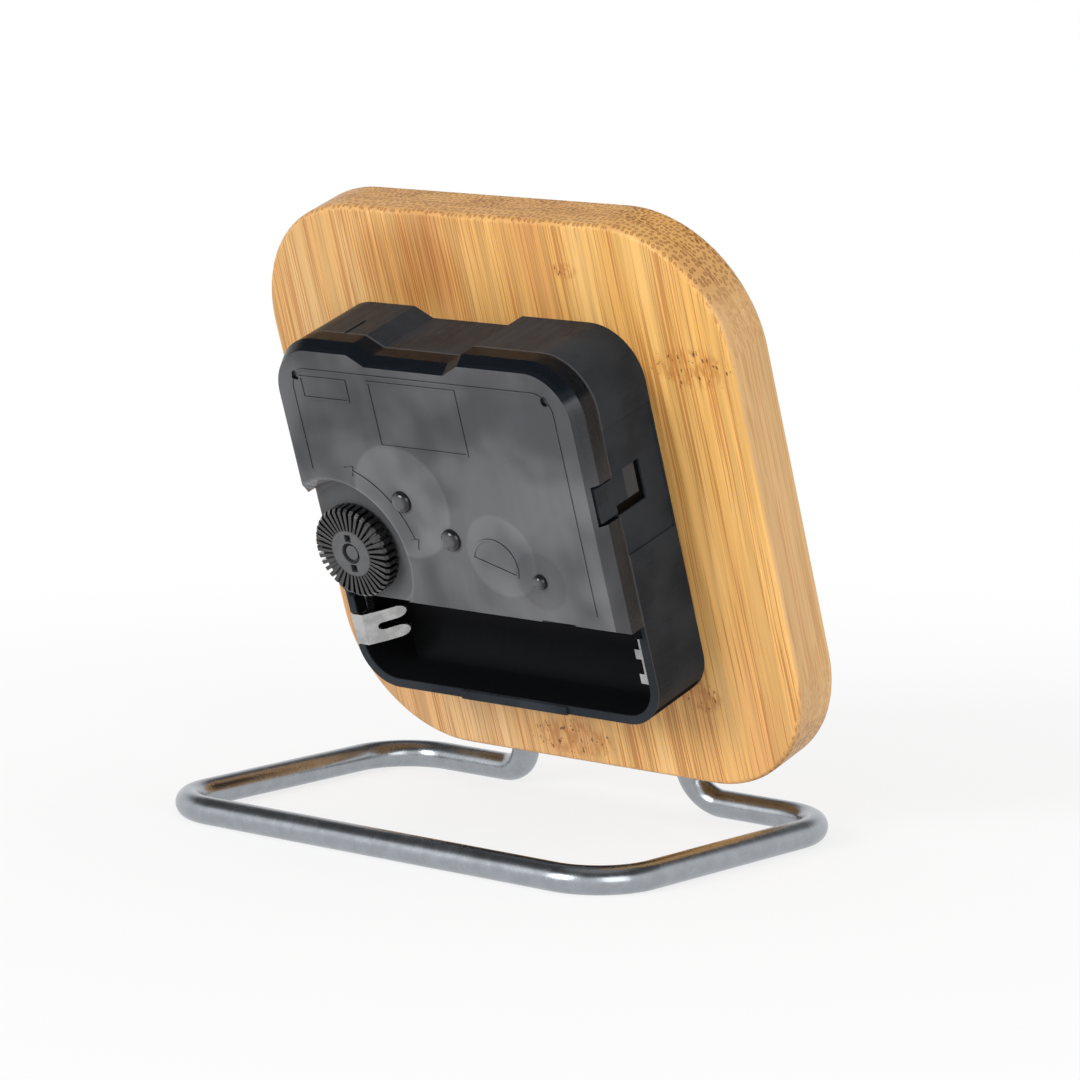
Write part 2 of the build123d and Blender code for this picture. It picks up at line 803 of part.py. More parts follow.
# Hour wheel with its tube
hour_turn = mesh_turn(reduction_axis, shaft, reduction_leaves, 0, hour_teeth)
with BuildPart() as hour_wheel:
    with BuildSketch(move_plane.offset(hour_level)):
        gear_outline(hour_teeth, hour_module, hour_turn)
        lightening_holes(hour_teeth * hour_module / 2)
    extrude(amount=gear_thickness)
    with BuildSketch(move_plane.offset(hour_front)):
        Circle(hour_tube)
    extrude(amount=hour_level - hour_front)
    with BuildSketch(move_plane.offset(hour_front)):
        Circle(hour_bore)
    extrude(amount=hour_level + gear_thickness - hour_front, mode=Mode.SUBTRACT)
hour_wheel.part.label = "hour_wheel"
export_step(hour_wheel.part, "parts/hour_wheel.step")

# Cannon pinion: it carries the minute hand, and the centre wheel slips on its hub when the hands are set
cannon_turn = mesh_turn(reduction_axis, shaft, reduction_teeth, 0, cannon_teeth)
cannon_low = setting_level - level_gap
cannon_high = cannon_low + leaf_thickness
centre_top = centre_level + gear_thickness
hub_end = centre_top + level_gap / 2
with BuildPart() as cannon_pinion:
    with BuildSketch(move_plane.offset(cannon_low)):
        gear_outline(cannon_teeth, setting_module, cannon_turn)
    extrude(amount=leaf_thickness)
    with BuildSketch(move_plane.offset(cannon_high)):
        Circle(hub_shoulder)
    extrude(amount=centre_level - cannon_high - level_gap / 2)
    with BuildSketch(move_plane.offset(cannon_high)):
        Circle(hub_radius)
    extrude(amount=hub_end - cannon_high)
    with BuildSketch(move_plane.offset(hub_end)):
        Circle(hub_radius + clutch_lip)
    extrude(amount=level_gap)
    with BuildSketch(move_plane.offset(minute_front)):
        Circle(cannon_radius)
    extrude(amount=cannon_low - minute_front)
    with BuildSketch(move_plane.offset(minute_front)):
        Circle(cannon_bore)
    extrude(amount=plate_level - minute_front, mode=Mode.SUBTRACT)
cannon_pinion.part.label = "cannon_pinion"
export_step(cannon_pinion.part, "parts/cannon_pinion.step")

# Centre wheel
centre_turn = mesh_turn(third_axis, shaft, third_leaves, 0, centre_teeth)
with BuildPart() as centre_wheel:
    with BuildSketch(move_plane.offset(centre_level)):
        gear_outline(centre_teeth, centre_module, centre_turn)
        lightening_holes(centre_teeth * centre_module / 2)
        Circle(hub_radius + running_gap, mode=Mode.SUBTRACT)
    extrude(amount=gear_thickness)
centre_wheel.part.label = "centre_wheel"
export_step(centre_wheel.part, "parts/centre_wheel.step")

# Reduction wheel between the cannon, the hour wheel and the knob
reduction_plane = local_plane(reduction_axis[0], reduction_axis[1], 0)
with BuildPart() as reduction_wheel:
    with BuildSketch(reduction_plane.offset(setting_level)):
        gear_outline(reduction_teeth, setting_module, 0)
        lightening_holes(reduction_teeth * setting_module / 2)
    extrude(amount=gear_thickness)
    with BuildSketch(reduction_plane.offset(hour_level - level_gap)):
        gear_outline(reduction_leaves, hour_module, 0)
    extrude(amount=setting_level - hour_level + level_gap)
    with BuildSketch(reduction_plane.offset(case_floor + level_gap)):
        Circle(arbor_radius)
    extrude(amount=plate_level - case_floor - 2 * level_gap)
    with BuildSketch(reduction_plane.offset(gasket_thickness + level_gap)):
        Circle(pivot_radius)
    extrude(amount=plate_level + plate_thickness / 2 - gasket_thickness)
reduction_wheel.part.label = "reduction_wheel"
export_step(reduction_wheel.part, "parts/reduction_wheel.step")

# Upper arbors end under the cover's bosses, and their pivots run in them
arbor_top = ceiling - boss_drop - level_gap
pivot_top = ceiling

# Third wheel
third_plane = local_plane(third_u, third_v, 0)
third_low = centre_level - level_gap
with BuildPart() as third_wheel:
    with BuildSketch(third_plane.offset(third_level)):
        gear_outline(third_teeth, third_module, 0)
        lightening_holes(third_teeth * third_module / 2)
    extrude(amount=gear_thickness)
    with BuildSketch(third_plane.offset(third_low)):
        gear_outline(third_leaves, centre_module, 0)
    extrude(amount=leaf_thickness)
    with BuildSketch(third_plane.offset(third_low)):
        Circle(arbor_radius)
    extrude(amount=arbor_top - third_low)
    with BuildSketch(third_plane.offset(arbor_top)):
        Circle(pivot_radius)
    extrude(amount=pivot_top - arbor_top)
third_wheel.part.label = "third_wheel"
export_step(third_wheel.part, "parts/third_wheel.step")

# Second wheel, whose long arbor reaches the dial and carries the second hand
second_leaf_turn = mesh_turn(third_axis, shaft, third_teeth, 0, second_leaves)
second_low = third_level - level_gap
with BuildPart() as second_wheel:
    with BuildSketch(move_plane.offset(second_level)):
        gear_outline(second_teeth, second_module, 0)
        lightening_holes(second_teeth * second_module / 2)
    extrude(amount=gear_thickness)
    with BuildSketch(move_plane.offset(second_low)):
        gear_outline(second_leaves, third_module, second_leaf_turn)
    extrude(amount=leaf_thickness)
    with BuildSketch(move_plane.offset(second_low)):
        Circle(arbor_radius)
    extrude(amount=arbor_top - second_low)
    with BuildSketch(move_plane.offset(arbor_top)):
        Circle(pivot_radius)
    extrude(amount=pivot_top - arbor_top)
    with BuildSketch(move_plane.offset(second_front)):
        Circle(seconds_radius)
    extrude(amount=second_low - second_front)
second_wheel.part.label = "second_wheel"
export_step(second_wheel.part, "parts/second_wheel.step")

# Middle wheel between the rotor and the second wheel
middle_plane = local_plane(middle_u, middle_v, 0)
middle_leaf_turn = mesh_turn(shaft, middle_axis, second_teeth, 0, middle_leaves)
plate_top = plate_level + plate_thickness
arbor_low = plate_top + level_gap
with BuildPart() as middle_wheel:
    with BuildSketch(middle_plane.offset(middle_level)):
        gear_outline(middle_teeth, middle_module, 0)
        lightening_holes(middle_teeth * middle_module / 2)
    extrude(amount=gear_thickness)
    with BuildSketch(middle_plane.offset(second_level - level_gap)):
        gear_outline(middle_leaves, second_module, middle_leaf_turn)
    extrude(amount=leaf_thickness)
    with BuildSketch(middle_plane.offset(arbor_low)):
        Circle(arbor_radius)
    extrude(amount=arbor_top - arbor_low)
    with BuildSketch(middle_plane.offset(plate_level)):
        Circle(pivot_radius)
    extrude(amount=pivot_top - plate_level)
middle_wheel.part.label = "middle_wheel"
export_step(middle_wheel.part, "parts/middle_wheel.step")

# Rotor: a round magnet on an arbor with leaves
rotor_plane = local_plane(rotor_u, rotor_v, 0)
rotor_turn = mesh_turn(middle_axis, rotor_axis, middle_teeth, 0, rotor_leaves)
with BuildPart() as rotor:
    with BuildSketch(rotor_plane.offset(magnet_level)):
        Circle(magnet_radius)
    extrude(amount=magnet_height)
    with BuildSketch(rotor_plane.offset(middle_level - level_gap)):
        gear_outline(rotor_leaves, middle_module, rotor_turn)
    extrude(amount=leaf_thickness)
    with BuildSketch(rotor_plane.offset(arbor_low)):
        Circle(arbor_radius)
    extrude(amount=arbor_top - arbor_low)
    with BuildSketch(rotor_plane.offset(plate_level)):
        Circle(pivot_radius)
    extrude(amount=pivot_top - plate_level)
rotor.part.label = "rotor"
export_step(rotor.part, "parts/rotor.step")

# Middle plate on the case's posts: it carries the train's lower pivots and the motor
stator_seats = [(rotor_u, seat_high), (rotor_u - stator_width / 4, stator_low + seat_radius)]
plate_middle_u = (plate_left + plate_right) / 2
plate_middle_v = (plate_low + plate_high) / 2
with BuildPart() as train_plate:
    with BuildSketch(move_plane.offset(plate_level)):
        with Locations((plate_middle_u, plate_middle_v)):
            RectangleRounded(plate_right - plate_left, plate_high - plate_low, plate_corner)
        with Locations(knob_axis):
            Circle(knob_arbor + level_gap, mode=Mode.SUBTRACT)
        with Locations(shaft):
            Circle(seconds_radius + running_gap, mode=Mode.SUBTRACT)
        with Locations(third_axis):
            Circle(arbor_radius + running_gap, mode=Mode.SUBTRACT)
        with Locations(reduction_axis, middle_axis, rotor_axis):
            Circle(pivot_radius + running_gap, mode=Mode.SUBTRACT)
        with Locations(*post_spots):
            Circle(pin_radius, mode=Mode.SUBTRACT)
    extrude(amount=plate_thickness)
    with BuildSketch(move_plane.offset(plate_top)):
        with Locations(*stator_seats):
            Circle(seat_radius)
    extrude(amount=stator_level - plate_top)
train_plate.part.label = "train_plate"
export_step(train_plate.part, "parts/train_plate.step")

# Stator: a thin steel plate round the rotor, with two feet that meet the coil's core
bar_height = stator_high - stator_low
foot_reach = coil_place + core_size / 2 - rotor_u
with BuildPart() as stator:
    with BuildSketch(move_plane.offset(stator_level)):
        with Locations((rotor_u, stator_low + bar_height / 2)):
            Rectangle(stator_width, bar_height)
        with Locations((rotor_u + foot_reach / 2, stator_low + stator_foot / 2)):
            Rectangle(foot_reach, stator_foot)
        with Locations((rotor_u + foot_reach / 2, stator_high - stator_foot / 2)):
            Rectangle(foot_reach, stator_foot)
        with Locations(rotor_axis):
            Circle(magnet_radius + stator_gap, mode=Mode.SUBTRACT)
    extrude(amount=stator_thickness)
stator.part.label = "stator"
export_step(stator.part, "parts/stator.step")

# Coil core: a bar along the coil's axis with a foot at each end
core_base = coil_level - core_size / 2
stator_top = stator_level + stator_thickness
with BuildPart() as coil_core:
    with BuildSketch(move_plane.offset(core_base)):
        with Locations((coil_place, stator_low + bar_height / 2)):
            Rectangle(core_size, bar_height)
    extrude(amount=core_size)
    with BuildSketch(move_plane.offset(stator_top)):
        with Locations(
            (coil_place, stator_low + stator_foot / 2), (coil_place, stator_high - stator_foot / 2)
        ):
            Rectangle(core_size, stator_foot)
    extrude(amount=core_base - stator_top)
coil_core.part.label = "coil_core"
export_step(coil_core.part, "parts/coil_core.step")

# Bobbin and winding round the core
bobbin_tube = core_size * sqrt(2) / 2 + level_gap
bobbin_plane = Plane(
    origin=move_plane.from_local_coords((coil_place, coil_low, coil_level)),
    x_dir=move_plane.x_dir,
    z_dir=move_plane.y_dir,
)
bobbin_length = coil_high - coil_low
with BuildPart() as coil_bobbin:
    with BuildSketch(bobbin_plane):
        Circle(flange_radius)
    extrude(amount=flange_thickness)
    with BuildSketch(bobbin_plane.offset(bobbin_length - flange_thickness)):
        Circle(flange_radius)
    extrude(amount=flange_thickness)
    with BuildSketch(bobbin_plane):
        Circle(bobbin_tube)
    extrude(amount=bobbin_length)
    with BuildSketch(bobbin_plane):
        Rectangle(core_size, core_size)
    extrude(amount=bobbin_length, mode=Mode.SUBTRACT)
coil_bobbin.part.label = "coil_bobbin"
export_step(coil_bobbin.part, "parts/coil_bobbin.step")

with BuildPart() as coil_winding:
    with BuildSketch(bobbin_plane.offset(flange_thickness)):
        Circle(coil_radius)
        Circle(bobbin_tube, mode=Mode.SUBTRACT)
    extrude(amount=bobbin_length - 2 * flange_thickness)
coil_winding.part.label = "coil_winding"
export_step(coil_winding.part, "parts/coil_winding.step")

# Circuit board with its sealed chip, and the quartz crystal that lies on it
circuit_top = circuit_level + circuit_thickness
with BuildPart() as circuit_board:
    with BuildSketch(move_plane.offset(circuit_level)):
        case_outline(case_wall + circuit_gap)
        with Locations((0, circuit_low - case_half)):
            Rectangle(case_size, case_size, mode=Mode.SUBTRACT)
    extrude(amount=circuit_thickness)
    with BuildSketch(move_plane.offset(circuit_top)):
        with Locations(chip_place):
            Circle(chip_radius)
    extrude(amount=chip_height, taper=chip_taper)
circuit_board.part.label = "circuit_board"
export_step(circuit_board.part, "parts/circuit_board.step")

crystal_end = move_plane.from_local_coords((crystal_place[0], crystal_place[1], circuit_top + crystal_radius))
with BuildPart() as quartz_crystal:
    with BuildSketch(Plane(origin=crystal_end, z_dir=-move_plane.x_dir)):
        Circle(crystal_radius)
    extrude(amount=crystal_length)
    fillet(quartz_crystal.edges().sort_by(Axis(crystal_end, -move_plane.x_dir))[-1], crystal_round)
quartz_crystal.part.label = "quartz_crystal"
export_step(quartz_crystal.part, "parts/quartz_crystal.step")

# Negative contact: a strip over the rim that slopes into the trough and ends in a fork
inner_left = -case_half + case_wall
fork_top = rim_height - rim_step
fork_plane = upright_plane(battery_middle - fork_width / 2)
prong_width = (fork_width - fork_slot) / 2
prong_shift = (fork_width + fork_slot) / 4
with BuildPart() as negative_contact:
    with BuildSketch(fork_plane):
        with BuildLine():
            Polyline(
                (-case_half, -fork_top + sheet / 2),
                (-case_half + fork_bend_in, -fork_top + sheet / 2),
                (-case_half + fork_mid_in, -fork_mid_level),
                (-case_half + fork_tip_in, -fork_tip_level),
            )
        trace(line_width=sheet)
    extrude(amount=fork_width)
    with BuildSketch(local_plane(-case_half, battery_middle, 0)):
        Rectangle(fork_mid_in, fork_width, align=(Align.MIN, Align.CENTER))
        with Locations((fork_tip_in / 2, prong_shift), (fork_tip_in / 2, -prong_shift)):
            SlotOverall(fork_tip_in, prong_width)
    extrude(amount=rim_height, mode=Mode.INTERSECT)
    with BuildSketch(local_plane(-case_half + fork_tip_in, battery_middle, 0)):
        SlotOverall(2 * (fork_tip_in - fork_mid_in) + fork_slot, fork_slot)
    extrude(amount=fork_top, mode=Mode.SUBTRACT)
    with BuildSketch(move_plane.offset(tail_low)):
        with Locations((inner_left, battery_middle)):
            Rectangle(sheet, tail_end - battery_middle, align=(Align.MIN, Align.MIN))
    extrude(amount=tail_height)
    with BuildSketch(move_plane.offset(tail_low)):
        with Locations((inner_left, battery_middle)):
            Rectangle(sheet, fork_width / 2, align=(Align.MIN, Align.MIN))
    extrude(amount=fork_top - sheet / 2 - tail_low)
negative_contact.part.label = "negative_contact"
export_step(negative_contact.part, "parts/negative_contact.step")

# Positive contact: a plate on the right wall with two tabs on its edge and a raised nub
inner_right = case_half - case_wall
plus_height = rim_height - rim_step - plus_low
plus_end = -case_half + case_low_corner + plus_gap
with BuildPart() as positive_contact:
    with BuildSketch(move_plane.offset(plus_low)):
        with Locations((inner_right, plus_end)):
            Rectangle(sheet, plus_width, align=(Align.MAX, Align.MIN))
    extrude(amount=plus_height)
    with BuildSketch(move_plane.offset(plus_low + plus_height - sheet)):
        for spot in plus_tab_spots:
            with Locations((inner_right, battery_middle + spot)):
                Rectangle(plus_tab, tab_width, align=(Align.MAX, Align.CENTER))
    extrude(amount=sheet)
    with BuildSketch(across_plane(inner_right - sheet)):
        with Locations((battery_middle, nub_level)):
            Circle(nub_radius)
    extrude(amount=-nub_height, taper=nub_taper)
    with BuildSketch(move_plane.offset(tail_low)):
        with Locations((inner_right, battery_middle)):
            Rectangle(sheet, tail_end - battery_middle, align=(Align.MAX, Align.MIN))
    extrude(amount=tail_height)
positive_contact.part.label = "positive_contact"
export_step(positive_contact.part, "parts/positive_contact.step")

# Hour marks on the dial side, wider at the quarters
mark_plane = dial_plane.offset(board_thickness)
with BuildPart() as hour_marks:
    with BuildSketch(mark_plane):
        with PolarLocations(mark_radius, dial_hours):
            Rectangle(mark_length, mark_width)
        with PolarLocations(mark_radius, dial_quarters):
            Rectangle(mark_length, quarter_mark_width)
    extrude(amount=mark_height)
hour_marks.part.label = "hour_marks"
export_step(hour_marks.part, "parts/hour_marks.step")

# Numerals at the quarters, each stroke of them a rounded line of even width
numeral_strokes = [
    (one_shares, -numeral_shift, numeral_radius, 1),
    (two_shares, numeral_shift, numeral_radius, 1),
    (three_top_shares, numeral_radius, 0, 1),
    (three_low_shares, numeral_radius, 0, 1),
    (six_shares, 0, -numeral_radius, 1),
    (six_shares, -numeral_radius, 0, -1),
]
with BuildPart() as quarter_numerals:
    for shares, right, up, sense in numeral_strokes:
        points = [(right + sense * a * numeral_size, up + sense * b * numeral_size) for a, b in shares]
        with BuildSketch(mark_plane):
            with BuildLine():
                FilletPolyline(*points, radius=numeral_bend)
            trace(line_width=numeral_stroke)
        extrude(amount=mark_height)
quarter_numerals.part.label = "quarter_numerals"
export_step(quarter_numerals.part, "parts/quarter_numerals.step")


def hand_outline(length, tail, width, hub, bore):
    """Draw a tapered hand that points up the dial, in the sketch that is open."""
    Polygon(
        (-width / 2, -tail),
        (width / 2, -tail),
        (width / 2, length - width),
        (0, length),
        (-width / 2, length - width),
        align=None,
    )
    Circle(hub)
    Circle(bore, mode=Mode.SUBTRACT)


# Hour hand, pressed on the hour tube
with BuildPart() as hour_hand:
    with BuildSketch(turned(dial_plane.offset(-hour_front - hand_thickness), -hour_hand_turn)):
        hand_outline(hour_hand_length, 0, hour_hand_width, hand_hub, hour_tube)
    extrude(amount=hand_thickness)
hour_hand.part.label = "hour_hand"
export_step(hour_hand.part, "parts/hour_hand.step")

# Minute hand, pressed on the cannon
with BuildPart() as minute_hand:
    with BuildSketch(turned(dial_plane.offset(-minute_front - hand_thickness), -minute_hand_turn)):
        hand_outline(minute_hand_length, 0, minute_hand_width, minute_hub, cannon_radius)
    extrude(amount=hand_thickness)
minute_hand.part.label = "minute_hand"
export_step(minute_hand.part, "parts/minute_hand.step")

# Second hand, pressed on the seconds arbor
with BuildPart() as second_hand:
    with BuildSketch(turned(dial_plane.offset(-second_front - hand_thickness), -second_hand_turn)):
        hand_outline(second_hand_length, second_hand_tail, second_hand_width, second_hub, seconds_radius)
    extrude(amount=hand_thickness)
second_hand.part.label = "second_hand"
export_step(second_hand.part, "parts/second_hand.step")
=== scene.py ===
import json
import math

import bpy
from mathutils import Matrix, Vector


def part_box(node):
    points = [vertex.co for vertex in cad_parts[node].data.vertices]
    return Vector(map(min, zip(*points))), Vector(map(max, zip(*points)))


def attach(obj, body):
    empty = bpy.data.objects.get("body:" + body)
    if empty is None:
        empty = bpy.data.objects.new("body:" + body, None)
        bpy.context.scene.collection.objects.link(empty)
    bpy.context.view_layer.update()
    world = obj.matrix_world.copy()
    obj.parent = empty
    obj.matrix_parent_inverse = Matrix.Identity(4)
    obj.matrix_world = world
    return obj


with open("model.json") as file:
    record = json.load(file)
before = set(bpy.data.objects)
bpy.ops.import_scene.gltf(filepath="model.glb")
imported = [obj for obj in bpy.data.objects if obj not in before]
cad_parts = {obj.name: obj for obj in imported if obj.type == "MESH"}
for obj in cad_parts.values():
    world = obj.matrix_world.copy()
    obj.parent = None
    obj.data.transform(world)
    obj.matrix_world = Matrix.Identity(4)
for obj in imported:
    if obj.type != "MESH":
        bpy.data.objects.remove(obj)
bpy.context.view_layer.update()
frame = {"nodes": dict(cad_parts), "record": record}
nodes = frame["nodes"]
print("frame loaded:", len(nodes), "nodes")

# Directions of the board, read from the joint that carries the minute hand
hingePlans = {plan["name"]: plan for plan in frame["record"]["behaviour"]["joints"]}
shaftPlace = Vector(hingePlans["minutes_spin"]["pos_m"])
knobPlace = Vector(hingePlans["knob_spin"]["pos_m"])
outward = Vector(hingePlans["minutes_spin"]["axis"]).normalized()  # out of the board's back
upward = Vector((0.0, -outward.z, outward.y))  # up the board
sideward = Vector((-1.0, 0.0, 0.0))  # to the right, as seen from behind
perMetre = 1000.0


def middleOf(node):
    low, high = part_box(node)
    return (Vector(low) + Vector(high)) / 2


# Node helpers
def makeTree(name):
    material = bpy.data.materials.new(name)
    material.use_nodes = True
    tree = material.node_tree
    tree.nodes.clear()
    return material, tree


def addNode(tree, kind, inputs=None, **settings):
    node = tree.nodes.new(kind)
    for key, value in settings.items():
        setattr(node, key, value)
    for key, value in (inputs or {}).items():
        if isinstance(value, bpy.types.NodeSocket):
            tree.links.new(value, node.inputs[key])
        else:
            node.inputs[key].default_value = value
    return node


def calc(tree, operation, first, second=0.0, third=0.0):
    inputs = {0: first, 1: second, 2: third}
    return addNode(tree, "ShaderNodeMath", inputs, operation=operation).outputs[0]


def times(tree, first, second):
    return calc(tree, "MULTIPLY", first, second)


def fade(tree, value, low, high, atLow=0.0, atHigh=1.0):
    # goes softly from one result to the other while the value goes from low to high
    node = addNode(tree, "ShaderNodeMapRange", {
        "Value": value, "From Min": low, "From Max": high, "To Min": atLow, "To Max": atHigh},
        interpolation_type="SMOOTHSTEP")
    return node.outputs["Result"]


def mixColor(tree, factor, first, second, blend="MIX"):
    node = addNode(tree, "ShaderNodeMix", data_type="RGBA", blend_type=blend)
    for key, value in ((0, factor), (6, first), (7, second)):
        if isinstance(value, bpy.types.NodeSocket):
            tree.links.new(value, node.inputs[key])
        else:
            node.inputs[key].default_value = (*value, 1.0) if key else value
    return node.outputs[2]


def tinted(tree, color, tint):
    return mixColor(tree, 1.0, color, tint, "MULTIPLY")


def shaded(tree, color, level):
    # lighter or darker by one number, where 1 changes nothing
    inputs = {0: level, 1: level, 2: level}
    return tinted(tree, color, addNode(tree, "ShaderNodeCombineColor", inputs).outputs[0])


def share(color, part):
    return [channel * part for channel in color]


def alike(value):
    # the same number three times, for a grey or an even scale
    return (value, value, value)


midNoise = 0.5  # the value that noise swings about


def ramp(tree, factor, stops):
    node = addNode(tree, "ShaderNodeValToRGB", {"Fac": factor})
    elements = node.color_ramp.elements
    while len(elements) < len(stops):
        elements.new(0.5)
    for element, (place, color) in zip(elements, stops):
        element.position = place
        element.color = (*color, 1.0)
    return node.outputs["Color"]


def spaceFrom(tree, origin):
    # distances to the right, up and out of the board, in millimetres from the origin
    place = addNode(tree, "ShaderNodeTexCoord").outputs["Object"]
    shifted = addNode(tree, "ShaderNodeVectorMath", {0: place, 1: tuple(origin)},
                      operation="SUBTRACT")
    axes = []
    for direction in (sideward, upward, outward):
        scaled = tuple(direction * perMetre)
        along = addNode(tree, "ShaderNodeVectorMath", {0: shifted.outputs[0], 1: scaled},
                        operation="DOT_PRODUCT")
        axes.append(along.outputs["Value"])
    return axes


def squareSum(tree, first, second):
    return calc(tree, "ADD", times(tree, first, first), times(tree, second, second))


def radiusFrom(tree, origin):
    # distance from an axis along the shaft's direction, in millimetres
    right, up = spaceFrom(tree, origin)[:2]
    return calc(tree, "SQRT", squareSum(tree, right, up))


def spotReach(tree, right, up, spot):
    # 0 in the middle of an oval spot and 1 on its rim
    rightPlace, upPlace, halfWidth, halfHeight = spot
    aside = calc(tree, "DIVIDE", calc(tree, "SUBTRACT", right, rightPlace), halfWidth)
    above = calc(tree, "DIVIDE", calc(tree, "SUBTRACT", up, upPlace), halfHeight)
    return squareSum(tree, aside, above)


def towards(tree, direction):
    # how squarely the surface faces a direction of the board, below zero where it faces away
    normal = addNode(tree, "ShaderNodeTexCoord").outputs["Normal"]
    turned = addNode(tree, "ShaderNodeVectorMath", {0: normal, 1: tuple(direction)},
                     operation="DOT_PRODUCT")
    return turned.outputs["Value"]


def facing(tree, direction):
    return calc(tree, "ABSOLUTE", towards(tree, direction))


def band(tree, value, low, high, soft=0.04):
    # 1 between low and high, and 0 outside
    inner = fade(tree, value, low - soft, low + soft)
    return times(tree, inner, fade(tree, value, high - soft, high + soft, 1.0, 0.0))


def scaledBy(tree, axes, scales, shift=0.0):
    parts = [calc(tree, "MULTIPLY_ADD", axis, scale, shift) for axis, scale in zip(axes, scales)]
    return addNode(tree, "ShaderNodeCombineXYZ", dict(enumerate(parts))).outputs[0]


def noise(tree, vector, scale=1.0, detail=2.0, roughness=0.5, distortion=0.0):
    node = addNode(tree, "ShaderNodeTexNoise", {
        "Vector": vector, "Scale": scale, "Detail": detail, "Roughness": roughness,
        "Distortion": distortion})
    return node.outputs["Fac"]


def pattern(tree, axes, plan):
    # plan: scale per millimetre along each axis, shift, detail, then any roughness and distortion
    scales, shift, *rest = plan
    return noise(tree, scaledBy(tree, axes, scales, shift), 1.0, *rest)


def cells(tree, vector, spread):
    node = addNode(tree, "ShaderNodeTexVoronoi", {
        "Vector": vector, "Scale": 1.0, "Randomness": spread}, voronoi_dimensions="2D")
    return node.outputs["Distance"]


def bumpFrom(tree, height, strength, depth):
    inputs = {"Height": height, "Strength": strength, "Distance": depth}
    return addNode(tree, "ShaderNodeBump", inputs).outputs["Normal"]


def finish(tree, inputs):
    shader = addNode(tree, "ShaderNodeBsdfPrincipled", inputs)
    addNode(tree, "ShaderNodeOutputMaterial", {"Surface": shader.outputs["BSDF"]})


def dress(name, material):
    materials = nodes[name].data.materials
    materials.clear()
    materials.append(material)


# Bamboo board: vertical fibres on its faces, the ends of the fibres as dots on its top and bottom.
# A fade is given as: value from and to, then the result at each. A bump: strength, depth in metres.
bamboo = {
    # tan, honey and pale wood, each with its place in the broad pattern
    "colors": [(0.33, (0.660, 0.345, 0.120)), (0.50, (0.735, 0.420, 0.140)),
               (0.68, (0.800, 0.495, 0.195))],
    "drift": ((0.02, 0.035, 0.02), 0.0, 1.0),
    "driftWidth": 1.0,
    "broad": ((0.11, 0.014, 0.25), 0.0, 2.0),
    # painted light and shade: bluer to the left, lighter and warmer to the right, paler and bluer
    # at the bottom, darker and warmer at the top
    "leftLightTint": (0.95, 1.0, 1.20),
    "rightLightTint": (1.04, 1.02, 0.92),
    "acrossSpan": (-38.0, 38.0),
    "lowLightTint": (1.05, 1.08, 1.22),
    "topShadeTint": (0.93, 0.89, 0.80),
    "upSpan": (-36.0, 30.0),
    "strips": ((0.80, 0.016, 0.80), 0.0, 2.0),
    "stripFade": (0.36, 0.64, 0.88, 1.08),
    "fibre": ((7.5, 0.06, 7.5), 0.0, 3.0, 0.6),
    "fibreFade": (0.32, 0.68, 0.90, 1.08),
    # thin dark streaks: their colour, pattern, how they crowd, their soft edge and strength
    "streak": (0.430, 0.150, 0.030),
    "streaks": ((3.8, 0.030, 3.8), 0.0, 2.0, 0.5),
    "crowd": ((0.24, 0.018, 0.24), 7.0, 1.0),
    "crowdFade": (0.35, 0.65, 0.60, 0.50),
    "streakEdge": 0.05,
    "streakOnFace": 0.66,
    "streakOnFlank": 0.34,
    # narrow sides
    "side": (0.680, 0.430, 0.205),
    "sideShade": 0.86,
    "sideShare": 0.75,
    "sideGrain": ((0.5, 0.03, 1.1), 3.0, 2.0),
    "sideFade": (0.35, 0.65),
    "endFacing": (0.30, 0.62),
    "flankFacing": (0.45, 0.92),
    # ends of the fibres, on the top and bottom
    "end": (0.600, 0.310, 0.100),
    "endShare": 0.6,
    "dot": (0.230, 0.085, 0.020),
    "dotShare": 0.66,
    "frontPitch": 1.55,  # dots a millimetre in the layer on the dial side
    "backPitch": 1.20,
    "dotSpread": 0.62,
    "dotRim": (0.26, 0.36, 1.0, 0.0),
    "dotHeart": (0.06, 0.16, 0.7, 0.0),
    "dashScale": (0.95, 2.1),
    "dashShift": 5.0,
    "dashSpread": 0.8,
    "dashShare": 0.85,
    "dashFade": (0.22, 0.34, 1.0, 0.0),
    "dashPatch": ((0.13, 0.35), 2.0, 1.0),
    "dashPatchFade": (0.46, 0.56),
    "seam": 0.6,  # where the two layers meet, millimetres from the middle towards the back
    "seamSoft": 0.05,
    "seamFade": (0.05, 0.16, 0.5, 0.0),
    # painted shadow of the case together with darker fibres, above the movement on the back:
    # right and up from the middle, half width, half height
    "caseShadowAndFibres": (-13.0, 34.0, 10.5, 7.5),
    "caseShadowAndFibreTint": (0.78, 0.64, 0.46),
    "caseShadowAndFibreFade": (0.1, 1.3, 1.0, 0.0),
    "darkLines": (0.40, 0.55, 0.45, 1.0),
    "backSpan": (-1.0, 1.0),
    # knots of fibre, given in the same way, and the small pits in them
    "knots": [(35.5, 22.6, 7.0, 3.2), (-1.0, -38.6, 8.5, 3.2), (25.0, -28.6, 4.0, 2.4),
              (-27.0, -20.0, 6.0, 2.6), (16.4, 35.4, 2.4, 1.3)],
    "knotFade": (0.5, 1.15, 1.0, 0.0),
    "knotRagged": 1.6,
    "knotShade": (0.42, 0.60, 0.05, 0.60),
    "wisp": ((1.3, 0.35, 1.3), 9.0, 3.0),
    "fleck": ((1.9, 1.2, 1.9), 5.0, 1.0),
    "pitFade": (0.655, 0.69),
    "pit": (0.110, 0.040, 0.012),
    "pitShare": 0.85,
    "roughFade": (0.3, 0.7, 0.37, 0.50),
    "gloss": 0.30,
    "bump": (0.35, 0.00004),
    # heights of the bump: fibres stand up, streaks, dots and pits go in
    "fibreHeight": 0.5,
    "streakDepth": 0.5,
}


